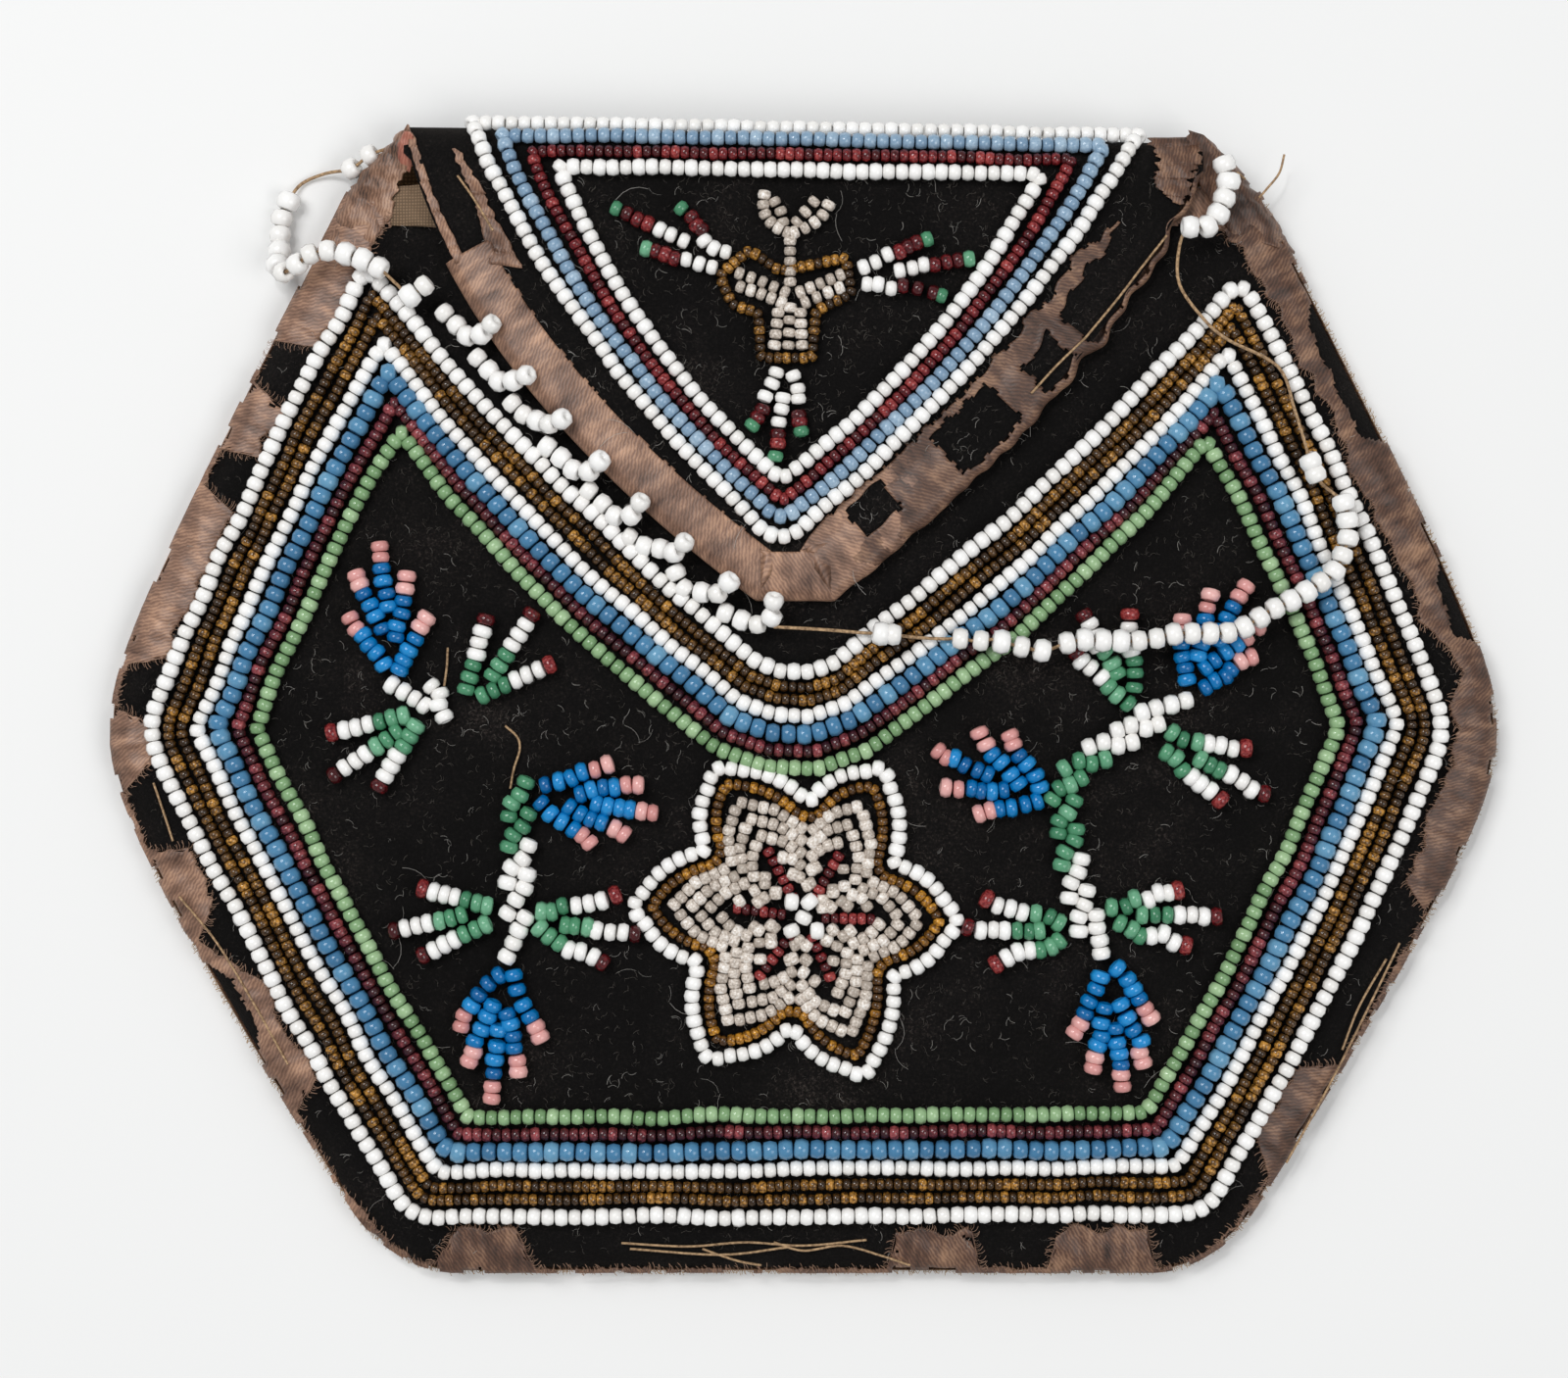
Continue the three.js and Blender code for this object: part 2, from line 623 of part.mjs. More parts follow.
// Sprays of short strings, each given by its tip and its root, and the stems between them.
const redTip = 1.3;
const pinkBlue = Array(6).fill(sprayBead);
const redWhiteGreen = [redTip, ...Array(6).fill(sprayBead)];
const fourBeads = Array(4).fill(sprayBead);
const sprays = [
  { name: 'spray_blue_left_top', beads: pinkBlue, colour: glassSprayBlue, fingers: [
    [-53.3, 9.4, -49.3, 3.9],
    [-52.6, 14.4, -49.5, 8.1],
    [-49.8, 17.8, -48.8, 10.7],
    [-46.6, 14.3, -47.9, 7.1],
    [-44.3, 9.4, -47.5, 3.3],
  ] },
  { name: 'spray_blue_left_inner', beads: pinkBlue, colour: glassSprayBlue, fingers: [
    [-23.0, -7.8, -30.3, -10.2],
    [-19.4, -10.2, -26.2, -11.3],
    [-17.7, -13.5, -24.3, -12.4],
    [-21.1, -16.0, -27.5, -12.8],
    [-25.1, -17.0, -30.8, -12.3],
  ] },
  { name: 'spray_blue_left_bottom', beads: pinkBlue, colour: glassSprayBlue, fingers: [
    [-40.3, -38.7, -35.8, -32.6],
    [-39.4, -42.8, -36.6, -36.2],
    [-36.8, -47.2, -35.9, -39.1],
    [-33.6, -44.0, -34.9, -37.2],
    [-31.0, -39.9, -34.1, -32.6],
  ] },
  { name: 'spray_blue_right_top', beads: pinkBlue, colour: glassSprayBlue, fingers: [
    [44.5, 9.2, 45.0, 2.1],
    [47.8, 12.1, 46.3, 4.9],
    [52.0, 13.1, 48.7, 6.6],
    [53.4, 8.3, 48.3, 4.4],
    [52.7, 4.8, 47.2, 1.4],
  ] },
  { name: 'spray_blue_right_inner', beads: pinkBlue, colour: glassSprayBlue, fingers: [
    [15.8, -6.2, 21.6, -9.0],
    [20.6, -4.1, 25.2, -10.1],
    [24.2, -4.4, 27.7, -10.5],
    [16.7, -10.5, 23.5, -10.8],
    [20.6, -13.6, 27.4, -12.1],
  ] },
  { name: 'spray_blue_right_bottom', beads: pinkBlue, colour: glassSprayBlue, fingers: [
    [31.9, -39.4, 34.9, -32.8],
    [34.1, -43.6, 35.4, -36.5],
    [37.6, -45.8, 36.7, -38.9],
    [40.0, -43.0, 37.3, -36.1],
    [40.9, -37.7, 36.7, -32.0],
  ] },
  { name: 'spray_green_left_top', beads: redWhiteGreen, colour: glassSprayGreen, fingers: [
    [-37.3, 9.2, -39.6, 1.0],
    [-31.9, 9.8, -36.5, 2.6],
    [-29.8, 3.9, -37.7, 0.3],
  ] },
  { name: 'spray_green_left_outer', beads: redWhiteGreen, colour: glassSprayGreen, fingers: [
    [-55.5, -4.1, -47.0, -2.1],
    [-55.2, -9.1, -47.8, -4.0],
    [-49.9, -10.4, -45.6, -3.3],
  ] },
  { name: 'spray_green_left_lower', beads: redWhiteGreen, colour: glassSprayGreen, fingers: [
    [-44.8, -22.4, -37.2, -24.4],
    [-48.2, -27.4, -39.4, -25.2],
    [-44.8, -30.3, -37.4, -26.6],
  ] },
  { name: 'spray_green_left_inner', beads: redWhiteGreen, colour: glassSprayGreen, fingers: [
    [-22.1, -23.1, -30.7, -25.2],
    [-19.8, -27.7, -28.5, -26.6],
    [-23.6, -31.1, -30.8, -27.0],
  ] },
  { name: 'spray_green_right_top', beads: redWhiteGreen, colour: glassSprayGreen, fingers: [
    [32.9, 9.7, 36.8, 2.8],
    [38.3, 9.8, 38.8, 1.2],
    [32.0, 5.3, 38.1, -0.7],
  ] },
  { name: 'spray_green_right_outer', beads: redWhiteGreen, colour: glassSprayGreen, fingers: [
    [52.0, -5.9, 43.3, -4.1],
    [54.2, -11.3, 46.6, -7.2],
    [49.0, -12.0, 42.8, -6.1],
  ] },
  { name: 'spray_green_right_lower', beads: redWhiteGreen, colour: glassSprayGreen, fingers: [
    [44.0, -22.6, 36.2, -24.6],
    [48.6, -25.7, 39.8, -25.5],
    [45.0, -29.1, 37.2, -26.5],
  ] },
  { name: 'spray_green_right_inner', beads: redWhiteGreen, colour: glassSprayGreen, fingers: [
    [21.5, -23.6, 30.0, -26.4],
    [19.9, -26.9, 27.7, -27.3],
    [22.6, -31.3, 30.0, -28.5],
  ] },
  { name: 'stem_white_left_top', beads: fourBeads, colour: glassWhite, fingers: [
    [-48.4, 1.5, -44.6, -0.9],
    [-43.7, 1.4, -42.1, -2.2],
  ] },
  { name: 'stem_green_left', beads: fourBeads, colour: glassSprayGreen, fingers: [
    [-32.6, -9.9, -34.6, -13.9],
    [-32.3, -13.6, -34.7, -17.3],
  ] },
  { name: 'stem_white_left', beads: fourBeads, colour: glassWhite, fingers: [
    [-31.8, -17.6, -34.8, -21.7],
    [-32.5, -20.7, -34.8, -25.3],
    [-32.7, -25.8, -34.9, -30.4],
  ] },
  { name: 'stem_white_right_top', beads: fourBeads, colour: glassWhite, fingers: [
    [44.9, -0.3, 39.8, -1.7],
    [41.7, -3.1, 36.9, -3.7],
    [38.6, -5.3, 33.5, -5.6],
  ] },
  { name: 'stem_green_right', beads: fourBeads, colour: glassSprayGreen, fingers: [
    [35.4, -7.8, 30.8, -8.6],
    [32.6, -9.4, 29.2, -11.9],
    [31.8, -12.0, 29.9, -15.9],
    [32.0, -15.4, 30.3, -19.6],
  ] },
  { name: 'stem_white_right', beads: fourBeads, colour: glassWhite, fingers: [
    [33, -19, 31.2, -23.5],
    [33.3, -22.6, 32.3, -27.4],
    [34.4, -25.5, 35.0, -30.0],
  ] },
];
sprays.forEach(({ name, beads, colour, fingers }) => {
  const strings = fingers.map(([tipX, tipY, rootX, rootY]) => {
    return beadString(at(tipX, tipY), at(rootX, rootY), beads, onFront);
  });
  addMesh(name, joined(strings), colour, glassRoughness);
});

// The star flower: a white outline, an amber one inside it, and clear rows filling its petals.
const petalRound = 3.2;
const notchRound = 0.4;
const petalBow = 0.9;
const petal = (x, y) => ({ place: at(x, y), round: petalRound, bow: petalBow });
const notch = (x, y) => ({ place: at(x, y), round: notchRound, bow: petalBow });
const starCorners = [
  notch(0.6, -12.1), petal(-10.9, -7.2), notch(-11.6, -17.8), petal(-21.2, -24.5),
  notch(-12.4, -31.1), petal(-12, -43.4), notch(-1.4, -38.7), petal(7.6, -45.6),
  notch(10.6, -32.7), petal(19.3, -26.2), notch(10.6, -19.4), petal(9.9, -7.2),
];
const starRows = [
  { name: 'star_white_outline', size: whiteBead, inset: 0, colour: glassWhite },
  { name: 'star_amber_outline', size: amberBead, inset: 1.95, colour: glassAmber },
  { name: 'star_clear_row_outer', size: garnetBead, inset: 3.65, colour: glassClear },
  { name: 'star_clear_row_inner', size: garnetBead, inset: 5.4, colour: glassClear },
];
const starSideSteps = 1;
starRows.forEach(({ name, size, inset, colour }) => {
  const path = closedPath(starCorners, inset, starSideSteps);
  addMesh(name, beadRidge(path, onFront, size), colour, glassRoughness);
});

// Five white beads in the middle of the star.
const starCentre = at(0, -25.8);
const centreStrings = [[at(0.7, -23.9), at(-1.4, -27.3)], [at(-1.4, -23.9), at(1.6, -27.3)]];
const threeBeads = Array(3).fill(sprayBead);
const centreBeads = centreStrings.map(([from, to]) => beadString(from, to, threeBeads, onFront));
addMesh('star_centre_beads', joined(centreBeads), glassWhite, glassRoughness);

// Red rays of small beads, one up the middle of each petal.
const rayTips = [[-4.1, -18.1], [4.1, -18.6], [7.9, -26], [3.1, -32.8], [-5.1, -32.7], [-7.8, -24.7]];
const rayStart = 4.3;
const rayShare = 0.9;
rayTips.forEach(([x, y], i) => {
  const tip = starCentre.clone().lerp(at(x, y), rayShare);
  const root = starCentre.clone().addScaledVector(tip.clone().sub(starCentre).normalize(), rayStart);
  const beads = Array(4).fill(redTip);
  addMesh(`star_red_ray_${i + 1}`, beadString(tip, root, beads, onFront), glassGarnet, glassRoughness);
});

// The flower on the flap: clear petals inside an amber outline, with a clear sprig above it.
const corner = (x, y) => ({ place: at(x, y), round: 0.6, bow: 0 });
const flapFlowerCorners = [
  corner(-2.8, 49.9), corner(-6.4, 52.4), corner(-9.8, 49.4), corner(-8.3, 45.9), corner(-5.3, 45),
  corner(-5, 39.7), corner(1, 39.7), corner(1.4, 45.2), corner(5.6, 47.3), corner(4.9, 51.4),
];
const flowerOutline = closedPath(flapFlowerCorners, 0, 1);
addMesh('flap_flower_outline', beadRidge(flowerOutline, onFlap, amberBead), glassAmber, glassRoughness);
const petalStrings = [
  [at(-6.6, 49.2), at(-1.6, 47.3)], [at(3.2, 49.2), at(-1.6, 47.3)],
  [at(-2.8, 42.5), at(-2.5, 47.3)], [at(-1.1, 42.5), at(-1.2, 47.3)],
];
const clearBeads = Array(3).fill(petalBead);
const clearPetals = petalStrings.map(([from, to]) => beadString(from, to, clearBeads, onFlap));
addMesh('flap_flower_petals', joined(clearPetals), glassClear, glassRoughness);
const sprigStrings = [
  [at(-1.6, 52.2), at(-1.6, 54.8)], [at(-4.3, 58.4), at(-1.6, 54.4)], [at(2.2, 58.2), at(-1.6, 54.4)],
];
const sprig = sprigStrings.map(([from, to]) => beadString(from, to, clearBeads, onFlap));
addMesh('flap_sprig', joined(sprig), glassClear, glassRoughness);

// Three sprays on the flap: a green bead, a run of small red ones and three white ones.
const greenRedWhite = [greenBead, redTip, redTip, sprayBead, sprayBead, sprayBead];
const flapSprays = [
  { name: 'flap_spray_left', fingers: [
    [-21.9, 57.2, -14, 53],
    [-14.3, 57.2, -9.9, 52.5],
    [-18.4, 52.5, -11.3, 50.8],
  ] },
  { name: 'flap_spray_right', fingers: [
    [14.4, 53.6, 7.8, 50.5],
    [19.3, 51.3, 11.2, 49.7],
    [15.8, 47.2, 8, 48.6],
  ] },
  { name: 'flap_spray_point', fingers: [
    [-6, 31.8, -3.2, 38],
    [-3.2, 28.8, -2.4, 35.2],
    [-0.3, 31.1, -1.2, 37.6],
  ] },
];
flapSprays.forEach(({ name, fingers }) => {
  const strings = fingers.map(([tipX, tipY, rootX, rootY]) => {
    return beadString(at(tipX, tipY), at(rootX, rootY), greenRedWhite, onFlap);
  });
  addMesh(name, joined(strings), glassSprayGreen, glassRoughness);
});

// Edging strands: white beads threaded on a linen thread, one closed body each. A strand is a
// list of stretches, each of beads or of bare thread, through places along it.
function strandRing(centre, along, up, size, sides) {
  const across = up.clone().cross(along).normalize();
  const over = along.clone().cross(across);
  return Array.from({ length: sides }, (_, i) => {
    const turn = (2 * Math.PI * i) / sides;
    const side = across.clone().multiplyScalar((Math.cos(turn) * size) / 2);
    return centre.clone().add(side).addScaledVector(over, (Math.sin(turn) * size) / 2);
  });
}

function strandSolid(stretches, lay, sides) {
  const stations = [];
  const place = (p, size) => {
    const { foot, up } = lay(p);
    stations.push({ centre: foot.addScaledVector(up, size / 2), up, size });
  };
  stretches.forEach(({ beads, places }) => {
    places.forEach((p, i) => {
      if (beads && i > 0) {
        place(places[i - 1].clone().lerp(p, 0.5), edgingBead * neckShare);
      }
      place(p, beads ? edgingBead : threadSize);
    });
  });
  const along = tangents(stations.map((station) => station.centre), false);
  const rings = stations.map(({ centre, up, size }, i) => strandRing(centre, along[i], up, size, sides));
  return solidFromRings(rings, false);
}

// Left strand: scallops of five beads along the flap's left edge.
const scallops = 8;
const scallopLength = 7.1;
const scallopShape = [[0.7, 1.75], [1.9, 2.35], [3.5, 2.6], [5.1, 2.35], [6.3, 1.75]];
const edgingTop = 0.68;
function flapEdgeFrame(distance) {
  const top = at(flapEdges(edgingTop).left, flapTipY + (foldAt(0).y - flapTipY) * edgingTop);
  const along = at(flapTipX - flapTipHalf, flapTipY).sub(top).normalize();
  const share = distance / (scallops * scallopLength);
  const hump = flapEdges(edgingTop * (1 - share));
  const y = flapTipY + (foldAt(0).y - flapTipY) * edgingTop * (1 - share);
  return { edge: at(hump.left, y), along, out: at(along.y, -along.x) };
}
const scallopStretches = [];
for (let k = 0; k < scallops; k += 1) {
  const places = scallopShape.map(([along, out]) => {
    const frame = flapEdgeFrame(k * scallopLength + along);
    return frame.edge.addScaledVector(frame.out, out);
  });
  scallopStretches.push({ beads: true, places });
}
addMesh('edging_strand_left', strandSolid(scallopStretches, onFront, 4), glassWhite, glassRoughness);

// Right strand: it has come away from the flap's right edge and lies loose across the front.
const looseLift = whiteBead + clearance;
const looseStretches = [
  [true, [48.8, 62.8], [49.3, 60.9], [48.9, 58.7], [48.3, 56.8], [46.9, 55.1], [44.8, 55]],
  [false, [43.9, 53.2], [43.8, 48.6], [46.6, 44.5], [49.5, 42], [55.5, 38.8], [57.5, 33.6]],
  [true, [59, 27.5], [59.6, 26]],
  [false, [60.8, 24.9]],
  [true, [62.9, 22.7], [63.4, 20.5], [63.4, 18.5], [62.7, 16.3], [61.6, 14.3], [59.5, 12.9]],
  [true, [57.8, 11.9], [56.2, 11], [54.4, 10.2], [52.6, 9], [50.8, 7.9], [49, 7.5]],
  [true, [47.3, 7.5], [45.6, 7.5], [43.9, 7.5], [42.2, 7.3], [40.3, 6.7], [38, 6.6]],
  [true, [35.8, 6.6], [34.2, 6.7], [32.6, 6.8], [30.6, 6.4]],
  [false, [29.1, 5.8]],
  [true, [27.7, 5.5], [25.5, 5.9], [23.5, 6.4], [21.9, 6.8], [20.1, 6.6], [18.2, 6.9]],
  [false, [16.1, 6.9], [12.7, 7.1]],
  [true, [10.4, 7.4], [9, 7.5]],
  [false, [7, 7.6], [2, 8], [-3.5, 8.3]],
].map(([beads, ...places]) => ({ beads, places: places.map(([x, y]) => at(x, y)) }));
function overRows(p) {
  const { foot, up } = onFront(p);
  return { foot: foot.addScaledVector(up, looseLift), up };
}
addMesh('loose_strand_right', strandSolid(looseStretches, overRows, 8), glassWhite, glassRoughness);

// Upper end of the left strand: it hangs from the fold beside the pouch, touches the table, and
// comes back over the rim and the corner of the rows. Beside the pouch each place has its height.
const hangingStretches = [
  [false, [-48.4, 65.6, 4.5]],
  [true, [-51.6, 64.6, 2.6], [-53.9, 63.1, 1.6]],
  [false, [-57.2, 62.8, 0.9], [-60.2, 61.6, 0.4]],
  [true, [-61.6, 59.4, 0.1], [-62.4, 57.4, 0.1], [-62.6, 55.4, 0.1], [-62.6, 53.4, 0.6]],
  [true, [-62.6, 51.5, 2.4], [-61.6, 50.4, 4.6]],
  [true, [-59.3, 50.9], [-57.4, 51.9], [-55.3, 52.3], [-53.2, 51.9], [-51.2, 51.2], [-49.3, 50.2]],
  [false, [-47.4, 48.4]],
  [true, [-45.7, 46.9], [-44, 48.1]],
].map(([beads, ...places]) => {
  return { beads, places: places.map((p) => new THREE.Vector3(...p)) };
});
function besideOrOverRows(p) {
  if (p.z > 0) {
    return { foot: p.clone(), up: new THREE.Vector3(0, 0, 1) };
  }
  return overRows(p);
}
const leftStrand = strandSolid(hangingStretches, besideOrOverRows, 6);
addMesh('loose_strand_left', leftStrand, glassWhite, glassRoughness);

export default pouch;
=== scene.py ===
import math
import random

import bpy
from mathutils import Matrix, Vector, noise


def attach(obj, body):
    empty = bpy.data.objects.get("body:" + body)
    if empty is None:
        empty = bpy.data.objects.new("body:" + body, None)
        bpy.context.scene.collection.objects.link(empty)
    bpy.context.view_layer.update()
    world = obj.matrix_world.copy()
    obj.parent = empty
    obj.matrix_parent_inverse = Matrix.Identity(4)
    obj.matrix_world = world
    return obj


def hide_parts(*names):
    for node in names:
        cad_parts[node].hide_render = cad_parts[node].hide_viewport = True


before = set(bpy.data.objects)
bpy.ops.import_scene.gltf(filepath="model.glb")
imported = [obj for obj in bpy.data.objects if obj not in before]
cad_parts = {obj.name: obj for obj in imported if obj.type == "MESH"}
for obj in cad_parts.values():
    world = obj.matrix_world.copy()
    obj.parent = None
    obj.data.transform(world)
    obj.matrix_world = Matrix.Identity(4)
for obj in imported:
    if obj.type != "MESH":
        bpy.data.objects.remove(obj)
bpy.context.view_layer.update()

# Camera. The pouch lies on its back and is seen from straight above, with its mouth at the top
# of the picture. The lens is long enough that the rim and the flap are hardly in perspective.
MM = 0.001
PHOTO_WIDTH_PX = 1600
PHOTO_CENTRE_PX = (800, 703)
FRAME_ORIGIN_PX = (820, 712)
PX_PER_METRE = 8690
BEAD_PLANE_Z = 10 * MM
LENS_MM = 85
SENSOR_MM = 36

camera_data = bpy.data.cameras.new("camera_above")
camera_data.lens = LENS_MM
camera_data.sensor_width = SENSOR_MM
camera = bpy.data.objects.new("camera_above", camera_data)
camera.location = (
    (PHOTO_CENTRE_PX[0] - FRAME_ORIGIN_PX[0]) / PX_PER_METRE,
    (FRAME_ORIGIN_PX[1] - PHOTO_CENTRE_PX[1]) / PX_PER_METRE,
    BEAD_PLANE_Z + PHOTO_WIDTH_PX / PX_PER_METRE * LENS_MM / SENSOR_MM,
)
bpy.context.scene.collection.objects.link(camera)
bpy.context.scene.camera = camera

# Lie of the cloth. The front panel stands off the back in the middle and comes down to it at
# the rim; the flap lies on the front and turns over the top in a half round. Everything sewn
# to the pouch takes its height from here.
TIP_HALF = 82.7 * MM
MOUTH_HALF = 54.5 * MM
BASE_HALF = 49 * MM
TIP_Y = -3.5 * MM
MOUTH_Y = 60.4 * MM
BASE_Y = -68.6 * MM
TIP_ROUNDING = 10 * MM
BASE_CORNER = 7 * MM
LOWER_BULGE = 1 * MM
FOLD_Y = 66.8 * MM
FOLD_HALF = 47.2 * MM
FOLD_TILT = 0.022
FLAP_TIP_X = -1 * MM
FLAP_TIP_Y = 11.6 * MM
FLAP_TIP_HALF = 4.5 * MM
FLAP_BOW_LEFT = 26 * MM
FLAP_BOW_RIGHT = 20 * MM
VELVET = 0.8 * MM
LINING = 0.4 * MM
RIBBON = 0.35 * MM
CLEARANCE = 0.3 * MM
POCKET_DEPTH = 5 * MM
FULLNESS = 2.6
FULLEST_Y = 10 * MM
MOUTH_SETTLE = 0.12
BACK_Z = RIBBON + CLEARANCE
FRONT_LINING_Z = BACK_Z + VELVET + CLEARANCE + LINING + CLEARANCE
FRONT_TOP_Z = FRONT_LINING_Z + LINING + CLEARANCE + VELVET
EDGE_INSET = RIBBON + CLEARANCE
SHEET_DEPTH = VELVET + CLEARANCE + LINING
FLAP_UNDERLAY = CLEARANCE + RIBBON + CLEARANCE


def half_width(y, inset=0.0):
    """Half the pouch's width at a height, taken in by an inset square to the edge."""
    drop = y - TIP_Y
    soft = math.hypot(drop, TIP_ROUNDING) - TIP_ROUNDING
    reach = MOUTH_Y - TIP_Y if drop > 0 else TIP_Y - BASE_Y
    far_half = MOUTH_HALF if drop > 0 else BASE_HALF
    slope = (TIP_HALF - far_half) / (math.hypot(reach, TIP_ROUNDING) - TIP_ROUNDING)
    share = min(abs(drop) / reach, 1)
    bulge = 0 if drop > 0 else 4 * LOWER_BULGE * share * (1 - share)
    into = max(BASE_Y + BASE_CORNER - y, 0)
    rounding = BASE_CORNER - inset
    corner = rounding - math.sqrt(max(rounding * rounding - into * into, 0))
    return TIP_HALF - slope * soft + bulge - corner - inset * math.hypot(1, slope)


def front_top(x, y):
    """Height of the front panel's velvet."""
    level = min(max(y, BASE_Y), MOUTH_Y)
    across = min(abs(x) / half_width(level), 1)
    below = max(FULLEST_Y - level, 0) / (FULLEST_Y - BASE_Y)
    above = max(level - FULLEST_Y, 0) / (MOUTH_Y - FULLEST_Y)
    swell = (1 - across ** FULLNESS) * (1 - below ** FULLNESS) * (1 - MOUTH_SETTLE * above * above)
    return FRONT_TOP_Z + POCKET_DEPTH * swell


def flap_top(x, y):
    return front_top(x, y) + FLAP_UNDERLAY + SHEET_DEPTH


def fold_at(x):
    """Radius, Y and Z of the half round over which the back becomes the flap."""
    radius = (flap_top(x, MOUTH_Y) - BACK_Z) / 2
    return radius, FOLD_Y - FOLD_TILT * x - radius, BACK_Z + radius


def flap_edges(share):
    """X of the flap's left and right edge, from 0 at its point to 1 at the fold."""
    hump = share * (1 - share)
    left = FLAP_TIP_X - FLAP_TIP_HALF - (FOLD_HALF - FLAP_TIP_HALF + FLAP_TIP_X) * share
    right = FLAP_TIP_X + FLAP_TIP_HALF + (FOLD_HALF - FLAP_TIP_HALF - FLAP_TIP_X) * share
    return left - FLAP_BOW_LEFT * hump, right + FLAP_BOW_RIGHT * hump


SLOPE_STEP = 0.5 * MM


def on_front(x, y, lift):
    """A point that far off the front panel, square to it."""
    d = SLOPE_STEP
    up = Vector((
        front_top(x - d, y) - front_top(x + d, y), front_top(x, y - d) - front_top(x, y + d), 2 * d,
    )).normalized()
    return Vector((x, y, front_top(x, y))) + up * lift


def on_flap(x, y, lift):
    """The same on the flap. Past the fold, Y is measured round it."""
    radius, fold_y, fold_z = fold_at(x)
    if y <= fold_y:
        return on_front(x, y, lift) + Vector((0, 0, FLAP_UNDERLAY + SHEET_DEPTH))
    turn = (y - fold_y) / (radius + CLEARANCE)
    out = radius + lift
    return Vector((x, fold_y + out * math.sin(turn), fold_z + out * math.cos(turn)))


# Glass seed beads, drawn glass tube chopped and tumbled until its ends are round. Each is a
# small ring threaded on cotton. Their glass is glossy, and no two are quite the same size.
def linear(code):
    """A colour written as sRGB hex, in the linear values that a shader takes."""
    parts = [int(code[i:i + 2], 16) / 255 for i in (1, 3, 5)]
    return tuple(c / 12.92 if c <= 0.04045 else ((c + 0.055) / 1.055) ** 2.4 for c in parts) + (1,)


def add_node(tree, kind, inputs=(), **settings):
    """Adds a node with its settings. An input is given by name or place, as a value or a socket."""
    made = tree.nodes.new(kind)
    for name, value in settings.items():
        setattr(made, name, value)
    for key, value in dict(inputs).items():
        if isinstance(value, bpy.types.NodeSocket):
            tree.links.new(value, made.inputs[key])
        else:
            made.inputs[key].default_value = value
    return made


def new_material(name, settings=()):
    """A material with a Principled shader, set as told and wired to its output."""
    material = bpy.data.materials.new(name)
    material.use_nodes = True
    tree = material.node_tree
    tree.nodes.clear()
    shader = add_node(tree, "ShaderNodeBsdfPrincipled", settings)
    add_node(tree, "ShaderNodeOutputMaterial", {"Surface": shader.outputs["BSDF"]})
    return material, tree, shader


def colour_ramp(tree, factor, stops):
    """A ramp between colours, given as places and sRGB hex."""
    made = add_node(tree, "ShaderNodeValToRGB", {"Fac": factor})
    ramp = made.color_ramp
    while len(ramp.elements) < len(stops):
        ramp.elements.new(0.5)
    for element, (place, code) in zip(ramp.elements, stops):
        element.position = place
        element.color = linear(code)
    return made.outputs["Color"]


def grain(tree, size, detail, roughness=0.5):
    """Noise of a size, fixed to the object."""
    place = add_node(tree, "ShaderNodeTexCoord")
    return add_node(tree, "ShaderNodeTexNoise", {
        "Vector": place.outputs["Object"], "Scale": 1 / size, "Detail": detail, "Roughness": roughness,
    }).outputs["Fac"]


def blend(tree, share, a, b):
    """A mix of two values, with the second one's share."""
    return add_node(tree, "ShaderNodeMix", {"Factor": share, "A": a, "B": b}).outputs[0]


def emboss(tree, shader, height, strength, distance):
    """Gives a shader its fine relief."""
    bump = add_node(tree, "ShaderNodeBump", {"Height": height, "Strength": strength, "Distance": distance})
    tree.links.new(bump.outputs["Normal"], shader.inputs["Normal"])


BEAD_TONE = "bead_tone"
STRING_PLACE = "string_place"
GLASS_IOR = 1.52


def seed_bead_glass(name, dark, middle, light, roughness=0.14, streak_and_glint_size=0.5, streak_and_glint_share=0.3, stops=(0, 0.5, 1)):
    """Glass whose colour runs from bead to bead and inside each, as the tube's streaks do; with glint stops its light
    flecks are painted glints.
    """
    material, tree, shader = new_material(name, {"Roughness": roughness, "IOR": GLASS_IOR})
    tone = add_node(tree, "ShaderNodeAttribute", attribute_name=BEAD_TONE)
    mixed = blend(tree, streak_and_glint_share, tone.outputs["Fac"], grain(tree, streak_and_glint_size * MM, 2.0))
    colour = colour_ramp(tree, mixed, tuple(zip(stops, (dark, middle, light))))
    tree.links.new(colour, shader.inputs["Base Color"])
    return material


# Stops for glass whose lightest colour, in flecks inside each bead, is painted glints: painted highlights on the lined
# and deep-coloured beads.
PAINTED_GLINT_STOPS = (0.38, 0.56, 0.76)
glass_white = seed_bead_glass("chalk_white_glass", "#ECE9E4", "#F7F5F2", "#FDFCFA", 0.16)
glass_amber = seed_bead_glass("dark_amber_glass", "#2E1E0E", "#5C3E18", "#CE9440", 0.1, 0.35, 0.7, PAINTED_GLINT_STOPS)
glass_blue = seed_bead_glass("powder_blue_glass", "#38688E", "#4880A8", "#74A8C6")
glass_spray_blue = seed_bead_glass("bright_blue_glass", "#00508C", "#0074B6", "#2896DA")
glass_pale_blue = seed_bead_glass("pale_blue_glass", "#587A9A", "#88A4BC", "#BCD2E2", 0.12, 0.35, 0.6)
glass_garnet = seed_bead_glass("garnet_glass", "#32141A", "#60262C", "#A24E52", 0.1, 0.35, 0.65, PAINTED_GLINT_STOPS)
glass_red = seed_bead_glass("ruby_glass", "#400E12", "#741E22", "#B04C48", 0.1, 0.35, 0.65, PAINTED_GLINT_STOPS)
glass_light_green = seed_bead_glass("leaf_green_glass", "#668A5C", "#86AA7A", "#AECC9E")
glass_spray_green = seed_bead_glass("sea_green_glass", "#337050", "#50926C", "#7CB894")
glass_pink = seed_bead_glass("rose_pink_glass", "#C68480", "#DE9E9A", "#F2C0BA")
